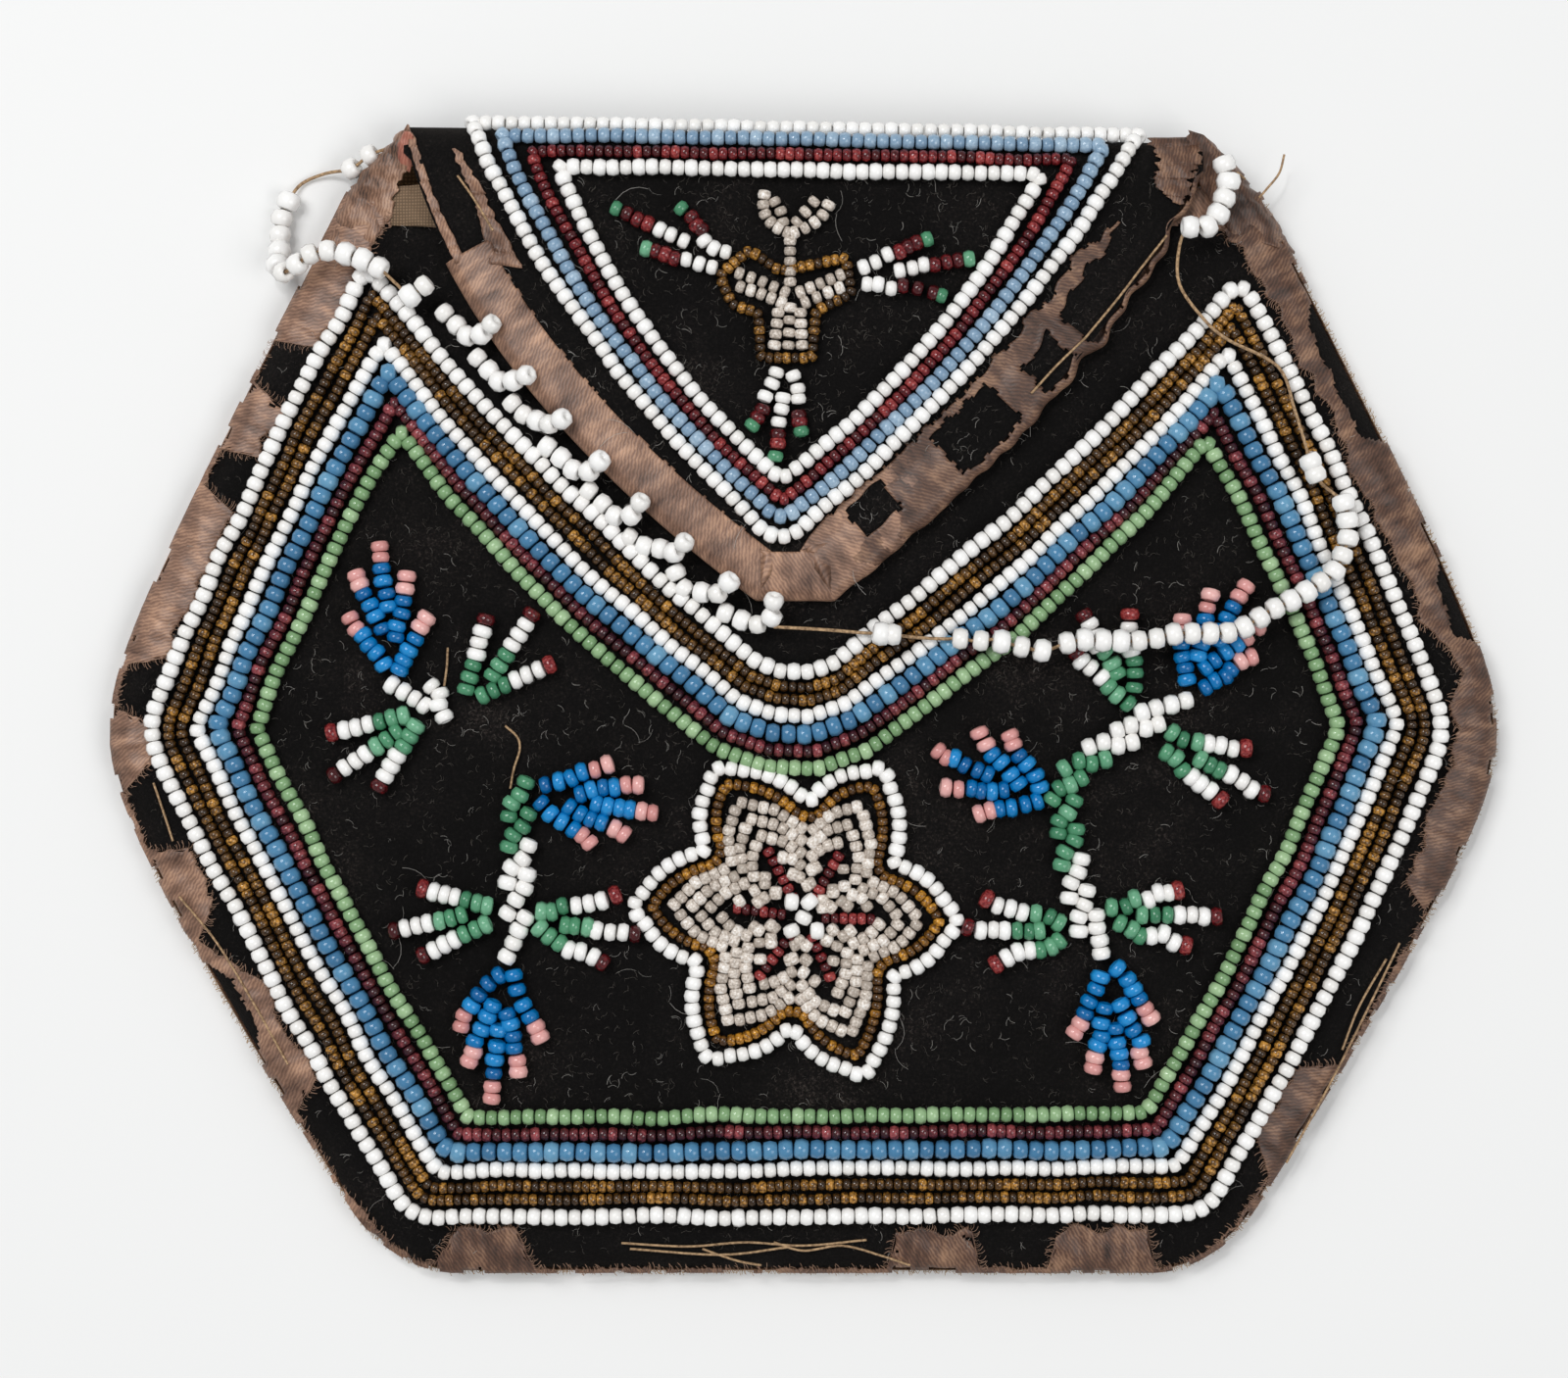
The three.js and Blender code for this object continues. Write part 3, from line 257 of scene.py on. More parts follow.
glass_clear = seed_bead_glass("silvered_clear_glass", "#A89C90", "#DACEC2", "#FDFAF5", 0.08, 0.3, 0.75, PAINTED_GLINT_STOPS)
glass_gold = seed_bead_glass("golden_amber_glass", "#3E260C", "#7A5016", "#D8982E", 0.1, 0.35, 0.7, PAINTED_GLINT_STOPS)


def new_tree(name, result, sockets):
    """A Geometry Nodes tree with its inputs, given by kind, and its one result."""
    tree = bpy.data.node_groups.new(name, "GeometryNodeTree")
    for kind, names in sockets:
        for socket in names:
            tree.interface.new_socket(socket, in_out="INPUT", socket_type=f"NodeSocket{kind}")
    tree.interface.new_socket(result, in_out="OUTPUT", socket_type="NodeSocketGeometry")
    return tree, add_node(tree, "NodeGroupInput").outputs


def bead_tree():
    """Beads as rings of glass along a path: spaced anew, or one at each of its points."""
    tree, given = new_tree("beads_on_thread", "Beads", (
        ("Geometry", ("Path",)), ("Bool", ("Respace",)),
        ("Float", ("Pitch", "Ring radius", "Wall radius", "Stretch", "Uneven", "Tilt")),
        ("Int", ("Sides", "Seed", "Tip beads", "Coloured beads")),
        ("Material", ("Tip glass", "Second glass", "Glass")),
    ))
    thread = add_node(tree, "GeometryNodeMeshToCurve", {"Mesh": given["Path"]})
    spaced = add_node(tree, "GeometryNodeResampleCurve", {
        "Curve": thread.outputs["Curve"], "Length": given["Pitch"],
    }, mode="LENGTH")
    path = add_node(tree, "GeometryNodeSwitch", {
        "Switch": given["Respace"], "False": thread.outputs["Curve"], "True": spaced.outputs["Curve"],
    }, input_type="GEOMETRY")
    along = add_node(tree, "GeometryNodeInputTangent")
    spline = add_node(tree, "GeometryNodeSplineParameter")
    kept = add_node(tree, "GeometryNodeStoreNamedAttribute", {
        "Geometry": path.outputs["Output"], "Name": STRING_PLACE, "Value": spline.outputs["Index"],
    }, data_type="INT", domain="POINT")
    number = add_node(tree, "GeometryNodeInputIndex")
    tone = add_node(tree, "FunctionNodeRandomValue", {"ID": number.outputs[0], "Seed": given["Seed"]})
    toned = add_node(tree, "GeometryNodeStoreNamedAttribute", {
        "Geometry": kept.outputs["Geometry"], "Name": BEAD_TONE, "Value": tone.outputs[1],
    }, data_type="FLOAT", domain="POINT")

    ring = add_node(tree, "GeometryNodeCurvePrimitiveCircle", {
        "Resolution": given["Sides"], "Radius": given["Ring radius"],
    })
    wall = add_node(tree, "GeometryNodeCurvePrimitiveCircle", {"Resolution": 7, "Radius": given["Wall radius"]})
    bead = add_node(tree, "GeometryNodeCurveToMesh", {
        "Curve": ring.outputs["Curve"], "Profile Curve": wall.outputs["Curve"],
    })
    stretch = add_node(tree, "ShaderNodeCombineXYZ", {"X": 1.0, "Y": 1.0, "Z": given["Stretch"]})
    longer = add_node(tree, "GeometryNodeTransform", {
        "Geometry": bead.outputs["Mesh"], "Scale": stretch.outputs["Vector"],
    })
    smooth = add_node(tree, "GeometryNodeSetShadeSmooth", {"Geometry": longer.outputs["Geometry"]})

    facing = add_node(tree, "FunctionNodeAlignRotationToVector", {"Vector": along.outputs["Tangent"]}, axis="Z")
    tilt_low = add_node(tree, "ShaderNodeVectorMath", {
        0: (-1.0, -1.0, -6.0), "Scale": given["Tilt"],
    }, operation="SCALE")
    tilt_high = add_node(tree, "ShaderNodeVectorMath", {
        0: (1.0, 1.0, 6.0), "Scale": given["Tilt"],
    }, operation="SCALE")
    tilt = add_node(tree, "FunctionNodeRandomValue", {
        "Min": tilt_low.outputs["Vector"], "Max": tilt_high.outputs["Vector"],
        "ID": number.outputs[0], "Seed": given["Seed"],
    }, data_type="FLOAT_VECTOR")
    turned = add_node(tree, "FunctionNodeEulerToRotation", {"Euler": tilt.outputs["Value"]})
    lying = add_node(tree, "FunctionNodeRotateRotation", {
        "Rotation": facing.outputs["Rotation"], "Rotate By": turned.outputs["Rotation"],
    }, rotation_space="LOCAL")
    small = add_node(tree, "ShaderNodeMath", {0: 1.0, 1: given["Uneven"]}, operation="SUBTRACT")
    large = add_node(tree, "ShaderNodeMath", {0: 1.0, 1: given["Uneven"]}, operation="ADD")
    size = add_node(tree, "FunctionNodeRandomValue", {
        2: small.outputs["Value"], 3: large.outputs["Value"], "ID": number.outputs[0], "Seed": given["Seed"],
    }, data_type="FLOAT")
    strung = add_node(tree, "GeometryNodeInstanceOnPoints", {
        "Points": toned.outputs["Geometry"], "Instance": smooth.outputs["Geometry"],
        "Rotation": lying.outputs["Rotation"], "Scale": size.outputs[1],
    })
    solid = add_node(tree, "GeometryNodeRealizeInstances", {"Geometry": strung.outputs["Instances"]})

    place = add_node(tree, "GeometryNodeInputNamedAttribute", {"Name": STRING_PLACE}, data_type="INT")
    is_tip = add_node(tree, "FunctionNodeCompare", {
        2: place.outputs["Attribute"], 3: given["Tip beads"],
    }, data_type="INT", operation="LESS_THAN")
    is_second = add_node(tree, "FunctionNodeCompare", {
        2: place.outputs["Attribute"], 3: given["Coloured beads"],
    }, data_type="INT", operation="LESS_THAN")
    plain = add_node(tree, "GeometryNodeSetMaterial", {
        "Geometry": solid.outputs["Geometry"], "Material": given["Glass"],
    })
    second = add_node(tree, "GeometryNodeSetMaterial", {
        "Geometry": plain.outputs["Geometry"], "Selection": is_second.outputs["Result"],
        "Material": given["Second glass"],
    })
    tip = add_node(tree, "GeometryNodeSetMaterial", {
        "Geometry": second.outputs["Geometry"], "Selection": is_tip.outputs["Result"],
        "Material": given["Tip glass"],
    })
    add_node(tree, "NodeGroupOutput", {0: tip.outputs["Geometry"]})
    return tree


beads_on_thread = bead_tree()


def mesh_object(name, points, edges=(), faces=()):
    """An object with a plain mesh."""
    mesh = bpy.data.meshes.new(name)
    mesh.from_pydata(points, edges, faces)
    made = bpy.data.objects.new(name, mesh)
    bpy.context.scene.collection.objects.link(made)
    return made


def lines_object(name, lines, closed=False):
    """An object of plain edges through each list of points."""
    points, edges = [], []
    for line in lines:
        first = len(points)
        points.extend(line)
        edges.extend((first + i, first + i + 1) for i in range(len(line) - 1))
        if closed:
            edges.append((len(points) - 1, first))
    return mesh_object(name, points, edges)


def keep_result(piece, modifier):
    """Takes what a modifier makes as the object's plain mesh."""
    bpy.context.view_layer.update()
    graph = bpy.context.evaluated_depsgraph_get()
    made = bpy.data.meshes.new_from_object(piece.evaluated_get(graph), depsgraph=graph)
    piece.modifiers.remove(modifier)
    old, piece.data = piece.data, made
    bpy.data.meshes.remove(old)
    made.name = piece.name
    return piece


def set_by_tree(piece, tree, values):
    """Runs a Geometry Nodes tree on an object and keeps the result."""
    modifier = piece.modifiers.new(tree.name, "NODES")
    modifier.node_group = tree
    for item in tree.interface.items_tree:
        if item.in_out == "INPUT" and item.name in values:
            modifier[item.identifier] = values[item.name]
    return keep_result(piece, modifier)


HOLE_SHARE = 0.16
BEAD_SIDES = 8
TILT = 0.09
UNEVEN = 0.06


def sew_on(piece, slot, *nodes):
    """Lets a piece ride on the pouch and stand for CAD nodes where it has any. Its slot is not used."""
    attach(piece, "root")
    if nodes:
        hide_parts(*nodes)


def string_beads(name, lines, diameter, pitch, glass, nodes=(), slot="glass_white", closed=False, respace=True,
                 seed=1, tip=None, second=None, tip_beads=0, second_beads=0, uneven=UNEVEN, fill=0.98):
    """One piece of beads along lines, riding on the pouch and standing for CAD nodes."""
    wall = diameter * (1 - HOLE_SHARE) / 4
    piece = set_by_tree(lines_object(name, lines, closed), beads_on_thread, {
        "Respace": respace, "Pitch": pitch, "Ring radius": diameter / 2 - wall, "Wall radius": wall,
        "Stretch": pitch * fill / (2 * wall), "Sides": BEAD_SIDES, "Uneven": uneven, "Tilt": TILT,
        "Seed": seed, "Tip beads": tip_beads, "Coloured beads": tip_beads + second_beads,
        "Tip glass": tip or glass, "Second glass": second or glass, "Glass": glass,
    })
    sew_on(piece, slot, *nodes)
    return piece


# Loose edging. The strand of large white beads that edged the flap's right side has come away.
# It hangs on by its upper end, runs down over the rows and lies across to the flap's point on
# a bare linen thread.
EDGING_BEAD = 2.8 * MM
THREAD = 0.4 * MM
ROW_LIFT = 2.7 * MM
STRAND = (
    (True, ((48.8, 62.8), (49.3, 60.9), (48.9, 58.7), (48.3, 56.8), (46.9, 55.1), (44.8, 55))),
    (False, ((43.9, 53.2), (43.8, 48.6), (46.6, 44.5), (49.5, 42), (55.5, 38.8), (57.5, 33.6))),
    (True, ((59, 27.5), (59.6, 26))),
    (False, ((60.8, 24.9),)),
    (True, ((62.9, 22.7), (63.4, 20.5), (63.4, 18.5), (62.7, 16.3), (61.6, 14.3), (59.5, 12.9))),
    (True, ((57.8, 11.9), (56.2, 11), (54.4, 10.2), (52.6, 9), (50.8, 7.9), (49, 7.5))),
    (True, ((47.3, 7.5), (45.6, 7.5), (43.9, 7.5), (42.2, 7.3), (40.3, 6.7), (38, 6.6))),
    (True, ((35.8, 6.6), (34.2, 6.7), (32.6, 6.8), (30.6, 6.4))),
    (False, ((29.1, 5.8),)),
    (True, ((27.7, 5.5), (25.5, 5.9), (23.5, 6.4), (21.9, 6.8), (20.1, 6.6), (18.2, 6.9))),
    (False, ((16.1, 6.9), (12.7, 7.1))),
    (True, ((10.4, 7.4), (9, 7.5))),
    (False, ((7, 7.6), (2, 8), (-3.5, 8.3))),
)


def catmull(points, steps):
    """A smooth line through points, with that many steps from each to the next."""
    ends = [points[0] * 2 - points[1], *points, points[-1] * 2 - points[-2]]
    line = []
    for a, b, c, d in zip(ends, ends[1:], ends[2:], ends[3:]):
        for k in range(steps):
            t = k / steps
            line.append(0.5 * (2 * b + (c - a) * t + (2 * a - 5 * b + 4 * c - d) * t * t
                               + (3 * b - a - 3 * c + d) * t ** 3))
    return line + [points[-1]]


def length_of(line):
    return sum((b - a).length for a, b in zip(line, line[1:]))


def laid_on_rows(strand):
    """A strand's places as it lies on the rows, each with whether it carries beads."""
    return [
        (on_front(x * MM, y * MM, ROW_LIFT + (EDGING_BEAD if beaded else THREAD) / 2), beaded)
        for beaded, places in strand for x, y in places
    ]


def beaded_stretches(places):
    """The runs of a strand's places that carry beads."""
    stretches, run = [], []
    for place, beaded in [*places, (None, False)]:
        if beaded:
            run.append(place)
        elif run:
            stretches.append(run)
            run = []
    return stretches


strand_places = laid_on_rows(STRAND)
strand_line = catmull([place for place, _ in strand_places], 6)


def twisted_thread(name, dark, light):
    """Spun linen: a dull fibre with fine lights and darks along it."""
    material, tree, shader = new_material(name, {"Roughness": 0.75})
    ply = grain(tree, 0.35 * MM, 3.0)
    tree.links.new(colour_ramp(tree, ply, ((0.3, dark), (0.7, light))), shader.inputs["Base Color"])
    emboss(tree, shader, ply, 0.5, 0.05 * MM)
    return material


def thread_object(name, lines, thickness, material):
    """Threads that follow lines, as round tubes."""
    curve = bpy.data.curves.new(name, "CURVE")
    curve.dimensions = "3D"
    curve.bevel_depth = thickness / 2
    curve.bevel_resolution = 2
    curve.use_fill_caps = True
    for line in lines:
        spline = curve.splines.new("POLY")
        spline.points.add(len(line) - 1)
        for point, place in zip(spline.points, line):
            point.co = (*place, 1)
    curve.materials.append(material)
    made = bpy.data.objects.new(name, curve)
    bpy.context.scene.collection.objects.link(made)
    return made


linen_thread = twisted_thread("tan_linen_thread", "#6E543A", "#C4A27A")
loose_thread = thread_object("loose_edging_thread", [strand_line], THREAD, linen_thread)
sew_on(loose_thread, "glass_white", "loose_strand_right")

loose_beads = string_beads("loose_edging_beads", beaded_stretches(strand_places), EDGING_BEAD, 2.05 * MM,
                           glass_white, slot="glass_white", seed=5, uneven=0.08)


# Upper end of the left edging. It has come off the flap's corner and hangs beside the pouch on
# its thread, touches the table and comes back over the rim to where it is still sewn on.
HANGING_STRAND = (
    (False, ((-48.4, 65.6, 4.7),)),
    (True, ((-51.6, 64.6, 4.0), (-53.9, 63.1, 3.0))),
    (False, ((-57.2, 62.8, 1.1), (-60.2, 61.6, 0.6))),
    (True, ((-61.6, 59.4, 1.5), (-62.4, 57.4, 1.5), (-62.6, 55.4, 1.5), (-62.6, 53.4, 2.0))),
    (True, ((-62.6, 51.5, 3.8), (-61.6, 50.4, 6.0))),
)
RETURNING_STRAND = (
    (True, ((-59.3, 50.9), (-57.4, 51.9), (-55.3, 52.3), (-53.2, 51.9), (-51.2, 51.2), (-49.3, 50.2))),
    (False, ((-47.4, 48.4),)),
    (True, ((-45.7, 46.9), (-44, 48.1))),
)
hanging_places = [(Vector(place) * MM, beaded) for beaded, places in HANGING_STRAND for place in places]
hanging_places += laid_on_rows(RETURNING_STRAND)
hanging_line = catmull([place for place, _ in hanging_places], 5)
hanging_thread = thread_object("hanging_edging_thread", [hanging_line], THREAD, linen_thread)
sew_on(hanging_thread, "glass_white", "loose_strand_left")
hanging_beads = string_beads("hanging_edging_beads", beaded_stretches(hanging_places), EDGING_BEAD, 2.1 * MM,
                             glass_white, slot="glass_white", respace=False, seed=8, uneven=0.08)


# Velvet of the front panel: black cotton velvet on a cotton ground, its short pile worn grey
# and full of brown lint. It rolls down at the rim, where the ribbon goes round it.
def black_velvet():
    material, tree, shader = new_material("black_cotton_velvet", {
        "Roughness": 0.95, "Specular IOR Level": 0.15, "Sheen Weight": 0.08, "Sheen Roughness": 0.5,
        "Sheen Tint": linear("#7A6450"),
    })
    pile = grain(tree, 0.34 * MM, 4.0, 0.75)
    worn = grain(tree, 14 * MM, 5.0, 0.65)
    colour = colour_ramp(tree, blend(tree, 0.42, pile, worn), (
        (0.38, "#060505"), (0.5, "#0B0A0A"), (0.59, "#181514"), (0.7, "#4A423E"),
    ))
    tree.links.new(colour, shader.inputs["Base Color"])
    emboss(tree, shader, pile, 0.9, 0.3 * MM)
    return material


velvet_black = black_velvet()
EDGE_ROLL_WIDTH = 3.2 * MM
EDGE_ROLL_DROP = 1.1 * MM


def grid_object(name, rows, columns, point):
    """A sheet of quads from a function of its row and column shares."""
    points = [point(i / rows, j / columns) for i in range(rows + 1) for j in range(columns + 1)]
    wide = columns + 1
    corners = [i * wide + j for i in range(rows) for j in range(columns)]
    made = mesh_object(name, points, faces=[(k, k + 1, k + wide + 1, k + wide) for k in corners])
    made.data.shade_smooth()
    return made


def thicken(piece, thickness):
    """Gives a sheet its thickness on the side away from its face."""
    modifier = piece.modifiers.new("cloth_thickness", "SOLIDIFY")
    modifier.thickness = thickness
    modifier.offset = -1.0
    return keep_result(piece, modifier)


def front_panel_point(inset, depth, up, across):
    y = BASE_Y + inset + (MOUTH_Y - BASE_Y - 2 * inset) * up
    wide = half_width(y, inset)
    x = wide * math.sin(math.pi / 2 * (2 * across - 1))
    near = min(wide - abs(x), y - BASE_Y - inset)
    roll = EDGE_ROLL_DROP * (1 - min(near / EDGE_ROLL_WIDTH, 1)) ** 2
    return Vector((x, y, front_top(x, y) - roll - depth))


front_velvet = grid_object(
    "front_velvet_panel", 150, 180, lambda up, across: front_panel_point(EDGE_INSET, 0, up, across),
)
front_velvet.data.materials.append(velvet_black)
thicken(front_velvet, VELVET)
sew_on(front_velvet, "velvet", "front_velvet")

# Lining of the front panel: plain unbleached cotton, gone tan, seen only at the mouth.
WAVE_OF_ONE = 0.314  # scale at which a wave texture's bands are one unit apart


def thread_bands(tree, vector, pitch, direction, distortion, detail, detail_scale):
    """Bands as wide as threads, a little crooked."""
    return add_node(tree, "ShaderNodeTexWave", {
        "Vector": vector, "Scale": WAVE_OF_ONE / pitch, "Distortion": distortion,
        "Detail": detail, "Detail Scale": detail_scale,
    }, bands_direction=direction).outputs["Fac"]


def plain_cotton(name, dark, light, thread):
    """Plain weave: two sets of threads over and under each other, a little slubbed."""
    material, tree, shader = new_material(name, {"Roughness": 0.9})
    place = add_node(tree, "ShaderNodeTexCoord").outputs["Object"]
    warp, weft = (thread_bands(tree, place, thread * MM, way, 0.6, 1.0, 3.0) for way in "XY")
    weave = add_node(tree, "ShaderNodeMath", {0: warp, 1: weft}, operation="MULTIPLY").outputs["Value"]
    colour = colour_ramp(tree, blend(tree, 0.5, weave, grain(tree, 5 * MM, 4.0)), ((0.2, dark), (0.65, light)))
    tree.links.new(colour, shader.inputs["Base Color"])
    emboss(tree, shader, weave, 0.6, 0.08 * MM)
    return material


lining_cotton = plain_cotton("unbleached_lining_cotton", "#6A5436", "#B4946A", 0.45)
LINING_DEPTH = VELVET + CLEARANCE
front_lining = grid_object(
    "front_lining_panel", 60, 60,
    lambda up, across: front_panel_point(EDGE_INSET, LINING_DEPTH, up, across),
)
front_lining.data.materials.append(lining_cotton)
thicken(front_lining, LINING)
sew_on(front_lining, "lining_cotton", "front_lining")

# Back panel and flap: one length of the same velvet, from the base up the back, over the top
# in a soft half round and down over the front to a point.
BACK_ROWS, SHOULDER_ROWS, FOLD_ROWS, FLAP_ROWS = 60, 6, 16, 70
BENT_ROWS = BACK_ROWS + SHOULDER_ROWS + FOLD_ROWS + FLAP_ROWS


def bent_point(travel, across, depth):
    """A point of the bent sheet: travel runs from the base to the flap's point, depth goes in."""
    i = round(travel * BENT_ROWS)
    spread = math.sin(math.pi / 2 * (2 * across - 1))
    top = MOUTH_Y - EDGE_INSET
    if i <= BACK_ROWS:
        y = BASE_Y + EDGE_INSET + (top - BASE_Y - EDGE_INSET) * i / BACK_ROWS
        wide = half_width(y, EDGE_INSET)
        roll = EDGE_ROLL_DROP * (1 - min((wide - abs(wide * spread)) / EDGE_ROLL_WIDTH, 1)) ** 2
        return Vector((wide * spread, y, BACK_Z + depth + roll / 2))
    x = spread * FOLD_HALF
    radius, fold_y, fold_z = fold_at(x)
    i -= BACK_ROWS
    if i < SHOULDER_ROWS:
        share = i / SHOULDER_ROWS
        wide = half_width(MOUTH_Y, EDGE_INSET)
        wide += (FOLD_HALF - wide) * share
        return Vector((wide * spread, top + (fold_y - top) * share, BACK_Z + depth))
    i -= SHOULDER_ROWS
    if i <= FOLD_ROWS:
        turn = math.pi * i / FOLD_ROWS
        out = radius - depth
        return Vector((x, fold_y + out * math.sin(turn), fold_z - out * math.cos(turn)))
    share = 1 - (i - FOLD_ROWS) / FLAP_ROWS
    left, right = flap_edges(share)
    flap_x = (left + right) / 2 + spread * (right - left - 2 * EDGE_INSET) / 2
    flap_y = FLAP_TIP_Y + EDGE_INSET + (fold_at(flap_x)[1] - FLAP_TIP_Y - EDGE_INSET) * share
    return Vector((flap_x, flap_y, flap_top(flap_x, flap_y) - depth))


back_flap_velvet = grid_object("back_flap_velvet_panel", BENT_ROWS, 120, lambda t, a: bent_point(t, a, 0))
back_flap_velvet.data.flip_normals()
back_flap_velvet.data.materials.append(velvet_black)
thicken(back_flap_velvet, VELVET)
sew_on(back_flap_velvet, "velvet", "back_flap_velvet")

back_flap_lining = grid_object("back_flap_lining_panel", BENT_ROWS, 60, lambda t, a: bent_point(t, a, LINING_DEPTH))
back_flap_lining.data.flip_normals()
back_flap_lining.data.materials.append(lining_cotton)
thicken(back_flap_lining, LINING)
sew_on(back_flap_lining, "lining_cotton", "back_flap_lining")


# Ribbon binding round the body: brown silk satin, folded over the rim and sewn down. The silk
# has shattered with age, so it is split, frayed or gone in places and the velvet shows.
def silk_satin(name, dark, middle, light):
    """Satin: a fine weave just to be seen, a soft sheen, and painted light on the ridges and painted shade in the
    creases of its wrinkles.
    """
    material, tree, shader = new_material(name, {
        "Roughness": 0.46, "Sheen Weight": 0.25, "Sheen Tint": linear("#C09A80"),
    })
    uv = add_node(tree, "ShaderNodeUVMap", uv_map="ribbon").outputs["UV"]
    slant = add_node(tree, "ShaderNodeMapping", {"Vector": uv, "Rotation": (0.0, 0.0, 0.6)})
    weave = thread_bands(tree, slant.outputs["Vector"], 0.42 * MM, "X", 5.0, 3.0, 1.5)
    stretched = add_node(tree, "ShaderNodeMapping", {
        "Vector": uv, "Scale": (1 / (1.3 * MM), 1 / (5 * MM), 1.0),
    })
    # The crease noise paints shade in the creases and light on the ridges between them; it also gives them their
    # relief.
    crease = add_node(tree, "ShaderNodeTexNoise", {
        "Vector": stretched.outputs["Vector"], "Scale": 1.0, "Detail": 4.0, "Roughness": 0.55,
    }).outputs["Fac"]
    worn = blend(tree, 0.55, crease, grain(tree, 5 * MM, 5.0, 0.6))
    colour = colour_ramp(tree, blend(tree, 0.08, worn, weave), ((0.36, dark), (0.5, middle), (0.66, light)))
    tree.links.new(colour, shader.inputs["Base Color"])
    emboss(tree, shader, blend(tree, 0.2, crease, weave), 0.5, 0.16 * MM)
    return material


silk_brown = silk_satin("brown_silk_satin", "#4A3226", "#80604E", "#C0967A")
silk_dark = silk_satin("dark_brown_silk_satin", "#2C1C14", "#5A3E30", "#9C785E")
# Satin with deeper darks and lighter lights, for the left shoulder scrap: painted shade in its folds and painted light
# on their ridges.
silk_painted_fold_shade = silk_satin("silk_satin_painted_fold_shade", "#2C1C14", "#7E5C48", "#C09A80")


def even_steps(points, step):
    """The same line with its points a step apart, each with its distance along the line."""
    made, travelled, target = [], 0.0, 0.0
    for a, b in zip(points, points[1:]):
        length = (b - a).length
        while target <= travelled + length and length > 0:
            made.append((a.lerp(b, (target - travelled) / length), target))
            target += step
        travelled += length
    return made


RIM_STEP = 2 * MM


def rim_line():
    """The rim from the left shoulder down, along the base and up the right side."""
    levels = [MOUTH_Y - i * RIM_STEP for i in range(int((MOUTH_Y - BASE_Y) / RIM_STEP))]
    levels += [BASE_Y + BASE_CORNER * (1 - math.cos(turn)) for turn in (1.0, 0.75, 0.5, 0.25)]
    side = [Vector((half_width(y), y)) for y in sorted(levels, reverse=True) + [BASE_Y]]
    return [Vector((-p.x, p.y)) for p in side] + side[::-1]


# How far the silk still reaches in from the rim, in mm, at places round the rim in mm.
SILK_LEFT_BY = (
    (-55, 60, 6.0), (-60, 50, 6.2), (-63.5, 44.5, 5.6), (-64.2, 43.0, 0.5), (-66.4, 38, 0.5), (-67, 37, 5.8),
    (-69.5, 31, 5.2), (-70, 30, 0.7), (-71.5, 25.5, 0.5), (-72, 24, 5.4), (-77, 12, 5.8), (-80, 6, 5.2),
    (-81, 4, 1.0), (-82.5, -1, 0.7), (-82.6, -3, 5.4), (-82, -9, 5.2), (-81, -11, 0.7), (-78.4, -18, 0.6),
    (-77, -20, 5.4), (-74, -26, 5.0), (-72, -29, 0.9), (-69, -35, 5.0), (-67, -38, 5.2), (-65, -41, 5.4),
    (-61, -47, 5.2), (-60, -49, 0.8), (-55, -58, 0.6), (-52, -62, 1.2), (-48, -68.6, 0.6), (-44, -68.6, 0.9),
    (-42, -68.6, 5.4), (-34, -68.6, 5.0), (-32, -68.6, 0.5), (-20, -68.6, 0.6), (0, -68.6, 0.5), (10, -68.6, 0.5),
    (11, -68.6, 5.4), (20, -68.6, 5.2), (21, -68.6, 0.7), (29, -68.6, 0.6), (30, -68.6, 5.6), (41, -68.6, 5.4),
    (42, -68.6, 0.7), (48, -68.6, 0.6), (52, -62, 1.0), (55, -57, 0.8), (57, -54, 5.0), (61, -46, 5.2),
    (63, -43, 0.6), (70, -30, 0.9), (73, -25, 0.7), (74, -23, 5.0), (79, -12, 5.6), (82, -5, 5.4),
    (82.4, 0, 5.2), (81.5, 4, 3.0), (78, 11, 5.2), (76.5, 15, 5.4), (73, 26, 5.6), (70, 31, 5.4),
    (67, 37, 4.8), (66, 39, 5.2), (62, 46, 5.0), (60.6, 48.5, 5.0), (57, 56, 5.8), (54.5, 60, 5.8),
)
# How far in from the rim it has worn away again, where its inner part is still sewn down.
SILK_GONE_BY = (
    (-55, 60, 0), (-62.5, 45, 0), (-70.5, 29, 0), (-81, 4, 0), (-78.4, -18, 0), (-71, -31, 0.5), (-69, -34, 2.6),
    (-66, -40, 2.4), (-64, -43, 0), (-44, -68.6, 0), (0, -68.6, 0), (48, -68.6, 0), (62, -44, 0), (75, -21, 0),
    (80, 6, 0), (79.4, 8, 2.8), (76.6, 14, 2.4), (75.5, 17, 0), (70.5, 30, 0), (69.4, 32.4, 2.8), (66, 39, 3.0),
    (62.4, 46, 2.4), (61.5, 48, 0), (54.5, 60, 0),
)
SILK_STEP = 0.36 * MM
LIP_STEPS = 14
UNDER_STEPS = 4
UNDER_LIP = 3.8 * MM
RIBBON_SHELL = 0.14 * MM


def distances_along(line, marks):
    """Where marks, given as X, Y and a value, lie along a line, in order."""
    placed = []
    for x, y, value in marks:
        spot = Vector((x, y)) * MM
        _, distance = min(((p - spot).length_squared, d) for p, d in line)
        placed.append((distance, value * MM))
    return sorted(placed)


def between_marks(marks, distance):
    """The value at a distance, between the marks on either side."""
    before = [mark for mark in marks if mark[0] <= distance]
    after = [mark for mark in marks if mark[0] > distance]
    if not before or not after:
        return (before or after)[-1 if before else 0][1]
    (da, a), (db, b) = before[-1], after[0]
    return a + (b - a) * (distance - da) / (db - da)


def waver(u, v, u_mm, v_mm, layer):
    """Smooth chance at a place, with waves of those lengths either way."""
    return noise.noise(Vector((u / (u_mm * MM), v / (v_mm * MM), layer)))


